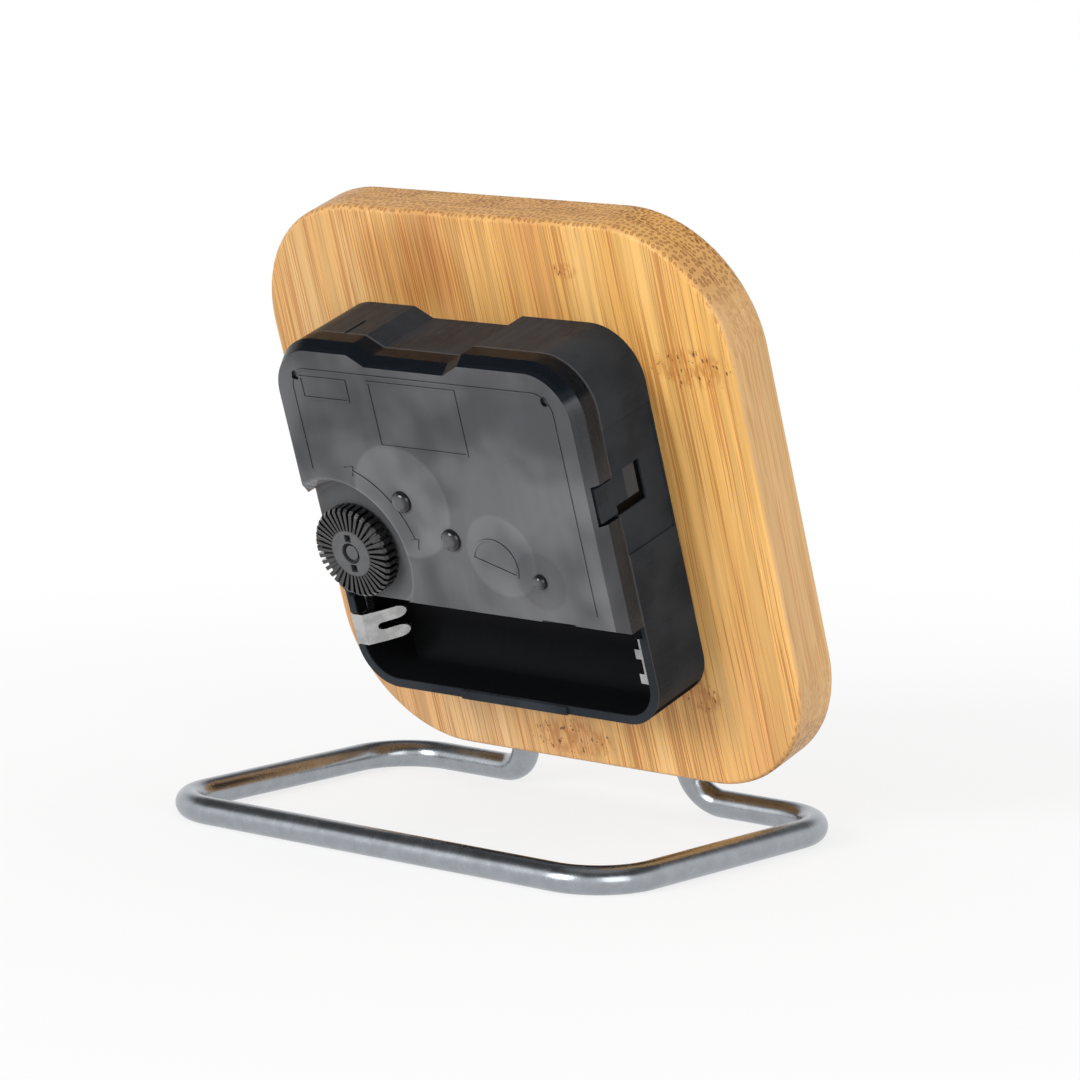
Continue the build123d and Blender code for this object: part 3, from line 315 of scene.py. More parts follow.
def bambooFinish():
    material, tree = makeTree("bambooBoard")
    right, up, out = spaceFrom(tree, middleOf("bamboo_board"))
    drift = pattern(tree, (right, up, out), bamboo["drift"])
    right = calc(tree, "MULTIPLY_ADD", drift, bamboo["driftWidth"], right)
    axes = (right, up, out)

    # colour of the wood from broad to fine
    color = ramp(tree, pattern(tree, axes, bamboo["broad"]), bamboo["colors"])
    # painted light and shade across the board and up it
    across = fade(tree, right, *bamboo["acrossSpan"])
    color = tinted(tree, color, mixColor(tree, across, bamboo["leftLightTint"], bamboo["rightLightTint"]))
    along = fade(tree, up, *bamboo["upSpan"])
    color = tinted(tree, color, mixColor(tree, along, bamboo["lowLightTint"], bamboo["topShadeTint"]))
    strips = pattern(tree, axes, bamboo["strips"])
    color = shaded(tree, color, fade(tree, strips, *bamboo["stripFade"]))
    fibre = pattern(tree, axes, bamboo["fibre"])
    color = shaded(tree, color, fade(tree, fibre, *bamboo["fibreFade"]))

    # thin dark streaks, thicker in some places than in others
    line = pattern(tree, axes, bamboo["streaks"])
    crowd = pattern(tree, axes, bamboo["crowd"])
    streak = calc(tree, "SUBTRACT", line, fade(tree, crowd, *bamboo["crowdFade"]))
    streak = fade(tree, streak, 0.0, bamboo["streakEdge"])

    ends = fade(tree, facing(tree, upward), *bamboo["endFacing"])
    flank = fade(tree, facing(tree, sideward), *bamboo["flankFacing"])
    flat = calc(tree, "SUBTRACT", 1.0, ends)
    sideGrain = fade(tree, pattern(tree, axes, bamboo["sideGrain"]), *bamboo["sideFade"])
    side = mixColor(tree, sideGrain, bamboo["side"], share(bamboo["side"], bamboo["sideShade"]))
    color = mixColor(tree, times(tree, flank, bamboo["sideShare"]), color, side)
    strength = fade(tree, flank, 0.0, 1.0, bamboo["streakOnFace"], bamboo["streakOnFlank"])
    shown = times(tree, streak, strength)
    color = mixColor(tree, times(tree, shown, flat), color, bamboo["streak"])

    # ends of the fibres, in two glued layers
    seam, soft = bamboo["seam"], bamboo["seamSoft"]
    layer = fade(tree, out, seam - soft, seam + soft)
    pitch = fade(tree, layer, 0.0, 1.0, bamboo["frontPitch"], bamboo["backPitch"])
    dotPlace = {0: times(tree, right, pitch), 1: times(tree, out, pitch)}
    dotPlace = addNode(tree, "ShaderNodeCombineXYZ", dotPlace).outputs[0]
    spot = cells(tree, dotPlace, bamboo["dotSpread"])
    dot = calc(tree, "SUBTRACT", fade(tree, spot, *bamboo["dotRim"]),
               fade(tree, spot, *bamboo["dotHeart"]))
    dot = times(tree, dot, ends)
    color = mixColor(tree, ends, color, mixColor(tree, bamboo["endShare"], color, bamboo["end"]))
    color = mixColor(tree, times(tree, dot, bamboo["dotShare"]), color, bamboo["dot"])
    dashPlace = scaledBy(tree, (right, out), bamboo["dashScale"], bamboo["dashShift"])
    dash = cells(tree, dashPlace, bamboo["dashSpread"])
    patch = pattern(tree, (right, out), bamboo["dashPatch"])
    dash = times(tree, fade(tree, dash, *bamboo["dashFade"]),
                 fade(tree, patch, *bamboo["dashPatchFade"]))
    dash = times(tree, dash, times(tree, ends, calc(tree, "SUBTRACT", 1.0, layer)))
    color = mixColor(tree, times(tree, dash, bamboo["dashShare"]), color, bamboo["dot"])
    joint = calc(tree, "ABSOLUTE", calc(tree, "SUBTRACT", out, seam))
    joint = times(tree, fade(tree, joint, *bamboo["seamFade"]), ends)
    color = mixColor(tree, joint, color, bamboo["dot"])

    # painted shadow of the case together with darker fibres, on the back
    reach = spotReach(tree, right, up, bamboo["caseShadowAndFibres"])
    shadowAndFibres = times(tree, fade(tree, reach, *bamboo["caseShadowAndFibreFade"]),
                    fade(tree, line, *bamboo["darkLines"]))
    tint = mixColor(tree, shadowAndFibres, alike(1.0), bamboo["caseShadowAndFibreTint"])
    atBack = times(tree, flat, fade(tree, out, *bamboo["backSpan"]))
    color = mixColor(tree, atBack, color, tinted(tree, color, tint))

    # knots: a darker patch with small pits
    pit = fade(tree, pattern(tree, axes, bamboo["fleck"]), *bamboo["pitFade"])
    wisp = pattern(tree, axes, bamboo["wisp"])
    patches = None
    for spot in bamboo["knots"]:
        reach = spotReach(tree, right, up, spot)
        ragged = calc(tree, "SUBTRACT", wisp, midNoise)
        reach = calc(tree, "MULTIPLY_ADD", ragged, bamboo["knotRagged"], reach)
        knot = fade(tree, reach, *bamboo["knotFade"])
        patches = knot if patches is None else calc(tree, "MAXIMUM", patches, knot)
    patches = times(tree, patches, flat)
    knotShade = times(tree, patches, fade(tree, wisp, *bamboo["knotShade"]))
    color = mixColor(tree, knotShade, color, bamboo["streak"])
    pit = times(tree, pit, patches)
    color = mixColor(tree, times(tree, pit, bamboo["pitShare"]), color, bamboo["pit"])

    depth = calc(tree, "ADD", times(tree, shown, bamboo["streakDepth"]),
                 calc(tree, "ADD", dot, pit))
    height = calc(tree, "MULTIPLY_ADD", depth, -1.0, times(tree, fibre, bamboo["fibreHeight"]))
    finish(tree, {
        "Base Color": color,
        "Roughness": fade(tree, fibre, *bamboo["roughFade"]),
        "Normal": bumpFrom(tree, height, *bamboo["bump"]),
        "Specular IOR Level": bamboo["gloss"]})
    return material


dress("bamboo_board", bambooFinish())
print("bamboo board finished")

# Steel wire of the stand: satin, with faint drawn lines and a mottled surface.
# Its patterns are per metre: scale, detail, then any roughness.
steelWire = {
    "dull": (0.325, 0.347, 0.373),
    "bright": (0.365, 0.390, 0.420),
    "rough": 0.25,
    "mottle": (520.0, 5.0, 0.65),
    "mottleFade": (0.35, 0.65),
    "cloud": (90.0, 3.0),
    "lineScale": (160.0, 2600.0, 5200.0),
    "roughFade": (0.3, 0.7, -0.02, 0.03),
    "bump": (0.06, 0.00001),
}


def wireFinish():
    material, tree = makeTree("steelWire")
    place = addNode(tree, "ShaderNodeTexCoord").outputs["Object"]
    mottle = noise(tree, place, *steelWire["mottle"])
    cloud = noise(tree, place, *steelWire["cloud"])
    bright = fade(tree, mottle, *steelWire["mottleFade"])
    tint = mixColor(tree, bright, steelWire["dull"], steelWire["bright"])
    lines = addNode(tree, "ShaderNodeVectorMath", {0: place, 1: steelWire["lineScale"]},
                    operation="MULTIPLY").outputs[0]
    drawn = noise(tree, lines)
    level = calc(tree, "ADD", fade(tree, cloud, *steelWire["roughFade"]),
                 fade(tree, mottle, *steelWire["roughFade"]))
    finish(tree, {
        "Base Color": tint, "Metallic": 1.0,
        "Roughness": calc(tree, "ADD", level, steelWire["rough"]),
        "Normal": bumpFrom(tree, calc(tree, "ADD", drawn, mottle), *steelWire["bump"])})
    return material


dress("wire_stand", wireFinish())
print("wire stand finished")

# Black movement case: satin outside, dull in the battery trough.
# Places are in millimetres from the shaft, at the board's back.
blackCase = {
    "color": (0.0275, 0.0320, 0.0380),
    "darkShare": 0.82,
    "paleShare": 1.22,
    "tint": (0.60, 0.85, 1.0),
    "gloss": 0.035,
    "rough": 0.33,
    "flow": ((0.9, 0.9, 0.05), 0.0, 3.0),
    "flowRough": (0.35, 0.65, -0.06, 0.06),
    "cloud": (alike(0.12), 0.0, 3.0),
    "cloudFade": (0.35, 0.65),
    "cloudRough": (0.35, 0.65, -0.04, 0.04),
    "grain": (alike(14.0), 0.0, 2.0),
    "bump": (0.12, 0.00001),
    # battery trough: its reach up, out and to each side (from below 0, so that the middle is
    # in it), then its colours: painted shade far darker than the case, and a painted sheen on its
    # back wall
    "troughUp": (-26.9, -11.9),
    "troughOut": (0.7, 10.6),
    "troughSide": (-1.0, 26.8),
    "troughPaintedShade": (0.0050, 0.0050, 0.0054),
    "troughWallSheen": (0.0260, 0.0260, 0.0280),
    "sheenFacing": (0.2, 0.7),
    "sheenFade": (-22.5, -14.5, 0.20, 1.0),
    "wallGrain": (0.35, 0.65, 0.75, 1.15),
    "troughRough": 0.80,
    # snap pocket in the right side: its floor, its reach up, its near end, then painted shade and a
    # lighter patch
    "pocketFloor": (27.2, 27.4),
    "pocketUp": (4.5, 10.4),
    "pocketEnd": 4.4,
    "pocketSoft": 0.1,
    "pocketPaintedShade": (0.0020, 0.0020, 0.0020),
    "shadeLow": 1.25,
    "shadeWidth": 0.75,
    "pocketPale": (0.060, 0.062, 0.066),
    "paleWidth": 3.2,
    # painted highlight: a fine light line where the cover meets the case
    "joint": (10.42, 10.62),
    "jointHighlight": (0.075, 0.077, 0.081),
    "jointHighlightShare": 0.8,
}


def caseFinish():
    material, tree = makeTree("blackCase")
    right, up, out = axes = spaceFrom(tree, shaftPlace)
    flow = pattern(tree, axes, blackCase["flow"])
    cloud = pattern(tree, axes, blackCase["cloud"])
    grain = pattern(tree, axes, blackCase["grain"])
    wide = calc(tree, "ABSOLUTE", right)
    inside = band(tree, up, *blackCase["troughUp"])
    inside = times(tree, inside, band(tree, out, *blackCase["troughOut"]))
    inside = times(tree, inside, band(tree, wide, *blackCase["troughSide"]))
    shell = mixColor(tree, fade(tree, cloud, *blackCase["cloudFade"]),
                     share(blackCase["color"], blackCase["darkShare"]),
                     share(blackCase["color"], blackCase["paleShare"]))
    # painted sheen on the trough's back wall, lighter towards the top, over painted shade in the
    # trough
    wall = times(tree, fade(tree, towards(tree, outward), *blackCase["sheenFacing"]),
                 fade(tree, up, *blackCase["sheenFade"]))
    wall = times(tree, wall, fade(tree, grain, *blackCase["wallGrain"]))
    trough = mixColor(tree, wall, blackCase["troughPaintedShade"], blackCase["troughWallSheen"])
    color = mixColor(tree, inside, shell, trough)
    # painted highlight along the line where the cover meets the case
    joint = times(tree, band(tree, out, *blackCase["joint"]),
                  calc(tree, "SUBTRACT", 1.0, inside))
    joint = times(tree, joint, blackCase["jointHighlightShare"])
    color = mixColor(tree, joint, color, blackCase["jointHighlight"])

    low, end, soft = blackCase["pocketUp"][0], blackCase["pocketEnd"], blackCase["pocketSoft"]
    pocket = times(tree, band(tree, right, *blackCase["pocketFloor"]),
                   band(tree, up, *blackCase["pocketUp"]))
    pocket = times(tree, pocket, fade(tree, out, end - soft / 2, end + soft / 2))
    # painted shade in the pocket's slot, beside a lighter patch
    low += blackCase["shadeLow"]
    near, far = end + blackCase["shadeWidth"], end + blackCase["paleWidth"]
    shadedSlot = calc(tree, "MAXIMUM", fade(tree, up, low, low + soft, 1.0, 0.0),
                fade(tree, out, near, near + soft, 1.0, 0.0))
    pale = fade(tree, out, far, far + soft, 1.0, 0.0)
    pocketShade = mixColor(tree, pale, shell, blackCase["pocketPale"])
    pocketShade = mixColor(tree, shadedSlot, pocketShade, blackCase["pocketPaintedShade"])
    color = mixColor(tree, pocket, color, pocketShade)

    rough = calc(tree, "ADD", blackCase["rough"], fade(tree, flow, *blackCase["flowRough"]))
    rough = calc(tree, "ADD", rough, fade(tree, cloud, *blackCase["cloudRough"]))
    duller = blackCase["troughRough"] - blackCase["rough"]
    finish(tree, {
        "Base Color": color,
        "Roughness": calc(tree, "MULTIPLY_ADD", inside, duller, rough),
        "Normal": bumpFrom(tree, grain, *blackCase["bump"]),
        "Specular IOR Level": blackCase["gloss"],
        "Specular Tint": (*blackCase["tint"], 1.0)})
    return material


# Smoked cover: a dark clear moulding with cloudy lighter places, and painted dark reflection on its
# upper edges
smokedCover = {
    "dark": (0.088, 0.089, 0.094),
    "light": (0.139, 0.140, 0.146),
    "cloud": (alike(0.075), 4.0, 2.0, 0.5, 0.2),
    "cloudFade": (0.36, 0.64),
    "flow": ((0.30, 0.05, 0.30), 1.0, 3.0),
    "flowFade": (0.3, 0.7, 0.96, 1.04),
    "grain": (alike(11.0), 0.0, 2.0),
    # wheels that show faintly through it: joint, radius in millimetres, share of extra light,
    # and the soft edge of each
    "wheels": [("third_spin", 8.6, 0.36), ("middle_spin", 6.2, 0.24), ("rotor_spin", 4.4, -0.14)],
    "wheelEdge": 0.35,
    # painted highlight on the rim round the knob: from and to this radius and the soft edge, in
    # millimetres, then its share of extra light
    "rim": (9.8, 12.2, 0.12),
    "rimHighlightShare": 0.28,
    "slopeFade": (-32.0, 36.0, 0.84, 1.16),  # lighter towards the lower right
    "flankShadeFade": (0.75, 0.95, 1.0, 0.30),  # painted shade: dark where it faces sideways
    # soft ridges along the bevels at its sides, shown as painted light and shade in stripes
    "ridges": ((2.6, 0.02, 0.0), 3.0, 1.0),
    "ridgeFade": (0.42, 0.58),
    "ridgeFacing": (0.3, 0.7),
    "ridgeLightAndShadeShare": 0.55,
    "lipLightFade": (-0.42, -0.30, 1.5, 1.0),  # painted light: paler where it faces down
    # painted dark reflection on the faces that face up
    "darkReflectionFacing": (0.30, 0.42),
    "edge": (0.006, 0.0080, 0.0110),
    # painted highlight: a fine light line along the cover's edge at the case
    "joint": (10.60, 10.78),
    "jointHighlight": (0.085, 0.087, 0.091),
    "jointHighlightShare": 0.7,
    "roughFade": (0.3, 0.7, -0.03, 0.05),
    "rough": 0.20,
    "clearFade": (0.3, 0.7, 0.83, 0.93),
    "bump": (0.04, 0.00001),
    "tint": (0.45, 0.75, 1.0),
    "gloss": 0.045,
    "coat": 0.035,
    "coatRough": 0.06,
}


def smokeFinish():
    material, tree = makeTree("smokedCover")
    right, up, out = axes = spaceFrom(tree, shaftPlace)
    cloud = pattern(tree, axes, smokedCover["cloud"])
    flow = pattern(tree, axes, smokedCover["flow"])
    grain = pattern(tree, axes, smokedCover["grain"])
    cloudy = fade(tree, cloud, *smokedCover["cloudFade"])
    color = mixColor(tree, cloudy, smokedCover["dark"], smokedCover["light"])
    color = shaded(tree, color, fade(tree, flow, *smokedCover["flowFade"]))
    edge = smokedCover["wheelEdge"]
    for wheelJoint, radius, extra in smokedCover["wheels"]:
        reach = radiusFrom(tree, Vector(hingePlans[wheelJoint]["pos_m"]))
        glow = fade(tree, reach, radius - edge, radius + edge, 1.0 + extra, 1.0)
        color = shaded(tree, color, glow)
    # painted highlight on the rim round the knob
    rim = band(tree, radiusFrom(tree, knobPlace), *smokedCover["rim"])
    color = shaded(tree, color, calc(tree, "MULTIPLY_ADD", rim, smokedCover["rimHighlightShare"], 1.0))
    slope = calc(tree, "SUBTRACT", right, up)
    color = shaded(tree, color, fade(tree, slope, *smokedCover["slopeFade"]))
    # painted shade where it faces sideways
    side = facing(tree, sideward)
    color = shaded(tree, color, fade(tree, side, *smokedCover["flankShadeFade"]))
    # painted light and shade in stripes along the side bevels
    ridges = fade(tree, pattern(tree, axes, smokedCover["ridges"]), *smokedCover["ridgeFade"])
    ridges = times(tree, calc(tree, "SUBTRACT", ridges, midNoise),
                   band(tree, side, *smokedCover["ridgeFacing"]))
    ridges = calc(tree, "MULTIPLY_ADD", ridges, smokedCover["ridgeLightAndShadeShare"], 1.0)
    color = shaded(tree, color, ridges)
    slant = towards(tree, upward)
    # painted light where it faces down
    color = shaded(tree, color, fade(tree, slant, *smokedCover["lipLightFade"]))
    # painted dark reflection where it faces up
    color = mixColor(tree, fade(tree, slant, *smokedCover["darkReflectionFacing"]), color,
                     smokedCover["edge"])
    # painted highlight along the cover's edge where it meets the case
    joint = times(tree, band(tree, out, *smokedCover["joint"]), smokedCover["jointHighlightShare"])
    color = mixColor(tree, joint, color, smokedCover["jointHighlight"])
    roughExtra = fade(tree, cloud, *smokedCover["roughFade"])
    finish(tree, {
        "Base Color": color,
        "Roughness": calc(tree, "ADD", smokedCover["rough"], roughExtra),
        "Alpha": fade(tree, cloud, *smokedCover["clearFade"]),
        "Normal": bumpFrom(tree, grain, *smokedCover["bump"]),
        "Specular IOR Level": smokedCover["gloss"],
        "Specular Tint": (*smokedCover["tint"], 1.0),
        "Coat Weight": smokedCover["coat"],
        "Coat Roughness": smokedCover["coatRough"]})
    return material


# Setting knob: glossy ribs round a duller hub, painted greyer as a painted reflection
settingKnob = {
    "rib": (0.0045, 0.0045, 0.0048),
    "hub": (0.052, 0.053, 0.056),
    "hubEdge": (3.4, 3.5, 1.0, 0.0),  # distance from the knob's axis, in millimetres
    "hubHeight": (12.9, 14.2),  # height above the board's back
    "grain": (alike(9.0), 0.0, 2.0),
    "wear": (alike(0.8), 0.0, 3.0),
    "wearFade": (0.3, 0.7, 0.82, 1.18),
    "ribRough": (0.3, 0.7, 0.17, 0.28),
    "hubExtraRough": 0.20,
    "bump": (0.08, 0.00001),
    "coat": 0.60,
    "coatRough": 0.06,
}


def knobFinish():
    material, tree = makeTree("blackKnob")
    axes = spaceFrom(tree, knobPlace)
    radius = radiusFrom(tree, knobPlace)
    hub = times(tree, fade(tree, radius, *settingKnob["hubEdge"]),
                fade(tree, axes[2], *settingKnob["hubHeight"]))
    grain = pattern(tree, axes, settingKnob["grain"])
    wear = pattern(tree, axes, settingKnob["wear"])
    # painted reflection: the hub is painted greyer than the ribs
    color = mixColor(tree, hub, settingKnob["rib"], settingKnob["hub"])
    color = shaded(tree, color, fade(tree, wear, *settingKnob["wearFade"]))
    ribRough = fade(tree, wear, *settingKnob["ribRough"])
    finish(tree, {
        "Base Color": color,
        "Roughness": calc(tree, "MULTIPLY_ADD", hub, settingKnob["hubExtraRough"], ribRough),
        "Normal": bumpFrom(tree, grain, *settingKnob["bump"]),
        "Coat Weight": settingKnob["coat"],
        "Coat Roughness": settingKnob["coatRough"]})
    return material


dress("movement_case", caseFinish())
dress("movement_cover", smokeFinish())
dress("setting_knob", knobFinish())
print("case, cover and knob finished")

# Other mouldings: colour, roughness, strength of the fine grain
mouldings = {
    "ivoryGear": ((0.66, 0.64, 0.56), 0.38, 0.10),
    "blueGear": ((0.07, 0.17, 0.36), 0.36, 0.10),
    "rotorMagnet": ((0.045, 0.045, 0.050), 0.45, 0.35),
    "darkPlate": ((0.040, 0.040, 0.043), 0.42, 0.18),
    "boardLaminate": ((0.19, 0.13, 0.045), 0.50, 0.30),
    "blackRubber": ((0.018, 0.018, 0.018), 0.72, 0.40),
    "darkInlay": ((0.040, 0.024, 0.014), 0.48, 0.20),
    "blackPaint": ((0.016, 0.016, 0.017), 0.30, 0.08),
    "redPaint": ((0.42, 0.025, 0.018), 0.30, 0.08),
}
mouldedSkin = {
    "flow": (alike(0.35), 2.0, 4.0),
    "flowFade": (0.32, 0.68),
    "flowShares": (0.88, 1.10),
    "flowRough": (0.3, 0.7, -0.05, 0.06),
    "grain": (alike(8.0), 0.0, 2.0),
    "grainDepth": 0.00002,
    "specks": (alike(5.0), 6.0, 1.0),
    "speckFade": (0.70, 0.76),
    "speckShare": 0.35,
    "speckShade": 0.55,
}


def mouldedFinish(name):
    color, rough, grainStrength = mouldings[name]
    material, tree = makeTree(name)
    axes = spaceFrom(tree, shaftPlace)
    flow = pattern(tree, axes, mouldedSkin["flow"])
    grain = pattern(tree, axes, mouldedSkin["grain"])
    speck = fade(tree, pattern(tree, axes, mouldedSkin["specks"]), *mouldedSkin["speckFade"])
    darker, paler = mouldedSkin["flowShares"]
    tint = mixColor(tree, fade(tree, flow, *mouldedSkin["flowFade"]), share(color, darker),
                    share(color, paler))
    tint = mixColor(tree, times(tree, speck, mouldedSkin["speckShare"]), tint,
                    share(color, mouldedSkin["speckShade"]))
    low, high, smoother, rougher = mouldedSkin["flowRough"]
    finish(tree, {
        "Base Color": tint,
        "Roughness": fade(tree, flow, low, high, rough + smoother, rough + rougher),
        "Normal": bumpFrom(tree, grain, grainStrength, mouldedSkin["grainDepth"])})
    return material


# Metals: colour, roughness, and how many fine lines a millimetre holds across, up and out
metals = {
    "platedStrip": ((0.52, 0.52, 0.52), 0.22, (0.25, 7.0, 7.0)),
    "stampedSteel": ((0.52, 0.52, 0.53), 0.34, (0.4, 6.0, 6.0)),
    "drawnCan": ((0.66, 0.66, 0.67), 0.28, (0.3, 7.0, 7.0)),
    "copperWire": ((0.60, 0.24, 0.10), 0.30, (0.4, 9.0, 0.4)),
}
metalSkin = {
    "cloud": (alike(0.4), 3.0, 3.0),
    "cloudFade": (0.38, 0.62),
    "cloudShade": 0.74,
    "lineRough": (0.3, 0.7, -0.06, 0.08),
    "bump": (0.18, 0.00002),
}


def metalFinish(name):
    color, rough, lines = metals[name]
    material, tree = makeTree(name)
    axes = spaceFrom(tree, shaftPlace)
    brushed = pattern(tree, axes, (lines, 0.0, 3.0))
    cloud = pattern(tree, axes, metalSkin["cloud"])
    tint = mixColor(tree, fade(tree, cloud, *metalSkin["cloudFade"]),
                    share(color, metalSkin["cloudShade"]), color)
    finish(tree, {
        "Base Color": tint, "Metallic": 1.0,
        "Roughness": calc(tree, "ADD", fade(tree, brushed, *metalSkin["lineRough"]), rough),
        "Normal": bumpFrom(tree, brushed, *metalSkin["bump"])})
    return material


# Turned brass: rings about the shaft, as the lathe leaves them
turnedBrass = {
    "color": (0.79, 0.58, 0.27),
    "shade": (0.60, 0.40, 0.16),
    "shadeFade": (0.3, 0.7, 0.0, 0.8),
    "rough": 0.24,
    "rings": ((5.0, 6.0), 0.0, 2.0),
    "ringRough": (0.3, 0.7, -0.05, 0.09),
    "cloud": (alike(0.5), 0.0, 3.0),
    "bump": (0.30, 0.00002),
}


def brassFinish():
    material, tree = makeTree("turnedBrass")
    axes = spaceFrom(tree, shaftPlace)
    radius = radiusFrom(tree, shaftPlace)
    rings = pattern(tree, (radius, axes[2]), turnedBrass["rings"])
    cloud = pattern(tree, axes, turnedBrass["cloud"])
    tint = mixColor(tree, fade(tree, cloud, *turnedBrass["shadeFade"]), turnedBrass["color"],
                    turnedBrass["shade"])
    ringRough = fade(tree, rings, *turnedBrass["ringRough"])
    finish(tree, {
        "Base Color": tint, "Metallic": 1.0,
        "Roughness": calc(tree, "ADD", ringRough, turnedBrass["rough"]),
        "Normal": bumpFrom(tree, rings, *turnedBrass["bump"])})
    return material


finishPlan = {
    "ivoryGear": ["hour_wheel", "centre_wheel", "reduction_wheel", "third_wheel", "second_wheel",
                  "middle_wheel", "coil_bobbin"],
    "blueGear": ["cannon_pinion"],
    "rotorMagnet": ["rotor"],
    "darkPlate": ["train_plate"],
    "boardLaminate": ["circuit_board"],
    "blackRubber": ["rubber_gasket"],
    "darkInlay": ["hour_marks", "quarter_numerals"],
    "blackPaint": ["hour_hand", "minute_hand"],
    "redPaint": ["second_hand"],
    "platedStrip": ["negative_contact", "positive_contact"],
    "stampedSteel": ["stator", "coil_core"],
    "drawnCan": ["quartz_crystal"],
    "copperWire": ["coil_winding"],
}
for finishName, pieceNames in finishPlan.items():
    isMoulded = finishName in mouldings
    material = mouldedFinish(finishName) if isMoulded else metalFinish(finishName)
    for pieceName in pieceNames:
        dress(pieceName, material)
brass = brassFinish()
for pieceName in ("threaded_bushing", "hex_nut", "dial_washer"):
    dress(pieceName, brass)
print("small pieces finished")


# Softened edges: radius in metres, and the least turn between two faces, in degrees,
# that counts as an edge
softEdges = {
    "movement_case": (0.00025, 22.0),
    "movement_cover": (0.00024, 16.0),
    "setting_knob": (0.00013, 25.0),
    "negative_contact": (0.00006, 25.0),
    "positive_contact": (0.00006, 25.0),
    "hex_nut": (0.00020, 25.0),
    "dial_washer": (0.00012, 25.0),
    "hour_hand": (0.00008, 25.0),
    "minute_hand": (0.00008, 25.0),
    "second_hand": (0.00006, 25.0),
    "hour_marks": (0.00008, 25.0),
    "quarter_numerals": (0.00006, 25.0),
}
edgeCare = {"weld": 0.000002, "flatWithin": 0.3, "segments": 2}  # metres, degrees, steps


def smoothGroup(limit):
    # shades every face smooth and keeps the edges that turn by more than the limit
    group = bpy.data.node_groups.new("smoothUnder%d" % limit, "GeometryNodeTree")
    for direction in ("INPUT", "OUTPUT"):
        group.interface.new_socket("Geometry", in_out=direction,
                                   socket_type="NodeSocketGeometry")
    start = group.nodes.new("NodeGroupInput")
    end = group.nodes.new("NodeGroupOutput")
    faces = addNode(group, "GeometryNodeSetShadeSmooth",
                    {"Geometry": start.outputs[0], "Shade Smooth": True}, domain="FACE")
    angle = addNode(group, "GeometryNodeInputMeshEdgeAngle")
    gentle = addNode(group, "FunctionNodeCompare",
                     {0: angle.outputs["Unsigned Angle"], 1: math.radians(limit)},
                     data_type="FLOAT", operation="LESS_THAN")
    edges = addNode(group, "GeometryNodeSetShadeSmooth",
                    {"Geometry": faces.outputs[0], "Shade Smooth": gentle.outputs[0]},
                    domain="EDGE")
    group.links.new(edges.outputs[0], end.inputs[0])
    return group


edgeLimits = sorted({limit for radius, limit in softEdges.values()})
smoothGroups = {limit: smoothGroup(limit) for limit in edgeLimits}


def soften(name, radius, limit):
    piece = nodes[name]
    weld = piece.modifiers.new("weld", "WELD")
    weld.merge_threshold = edgeCare["weld"]
    flatten = piece.modifiers.new("flatten", "DECIMATE")
    flatten.decimate_type = "DISSOLVE"
    flatten.angle_limit = math.radians(edgeCare["flatWithin"])
    shading = piece.modifiers.new("shading", "NODES")
    shading.node_group = smoothGroups[limit]
    bevel = piece.modifiers.new("softEdge", "BEVEL")
    bevel.width = radius
    bevel.segments = edgeCare["segments"]
    bevel.limit_method = "ANGLE"
    bevel.angle_limit = math.radians(limit)
    bevel.harden_normals = True
    bevel.use_clamp_overlap = True


for pieceName, (radius, limit) in softEdges.items():
    soften(pieceName, radius, limit)
print("edges softened")


# Clear domes over the pivots in the cover: joint, radius and height in millimetres
pivotDomes = {
    "spots": [("third_spin", 1.64, 1.02), ("seconds_spin", 1.64, 1.02), ("rotor_spin", 1.12, 1.0)],
    "level": 15.2,  # height of the cover's face above the board's back
    "fullness": 0.8,  # below 1 for a fuller dome
    "rings": 9,
    "sides": 48,
    "color": (0.010, 0.010, 0.011),
    "pale": (0.070, 0.070, 0.074),
    "paleFrom": 0.70,
    "paleTo": 1.0,
    "cloud": (alike(0.7), 0.0, 3.0),
    "roughFade": (0.3, 0.7, 0.06, 0.16),
    "bump": (0.15, 0.00004),
}


def domeFinish():
    material, tree = makeTree("clearDome")
    axes = spaceFrom(tree, shaftPlace)
    cloud = pattern(tree, axes, pivotDomes["cloud"])
    level = pivotDomes["level"]
    top = fade(tree, axes[2], level + pivotDomes["paleFrom"], level + pivotDomes["paleTo"])
    finish(tree, {
        "Base Color": mixColor(tree, top, pivotDomes["color"], pivotDomes["pale"]),
        "Roughness": fade(tree, cloud, *pivotDomes["roughFade"]),
        "Normal": bumpFrom(tree, cloud, *pivotDomes["bump"])})
    return material


def boardPoint(right, up, out, origin):
    # a place given in millimetres to the right of, above and out from a shaft
    return origin + (sideward * right + upward * up + outward * out) / perMetre


def shapeFrom(name, points, faces, material):
    mesh = bpy.data.meshes.new(name)
    mesh.from_pydata([tuple(point) for point in points], [], faces)
    mesh.update()
    mesh.polygons.foreach_set("use_smooth", [True] * len(mesh.polygons))
    mesh.materials.append(material)
    piece = bpy.data.objects.new(name, mesh)
    bpy.context.scene.collection.objects.link(piece)
    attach(piece, "clock")


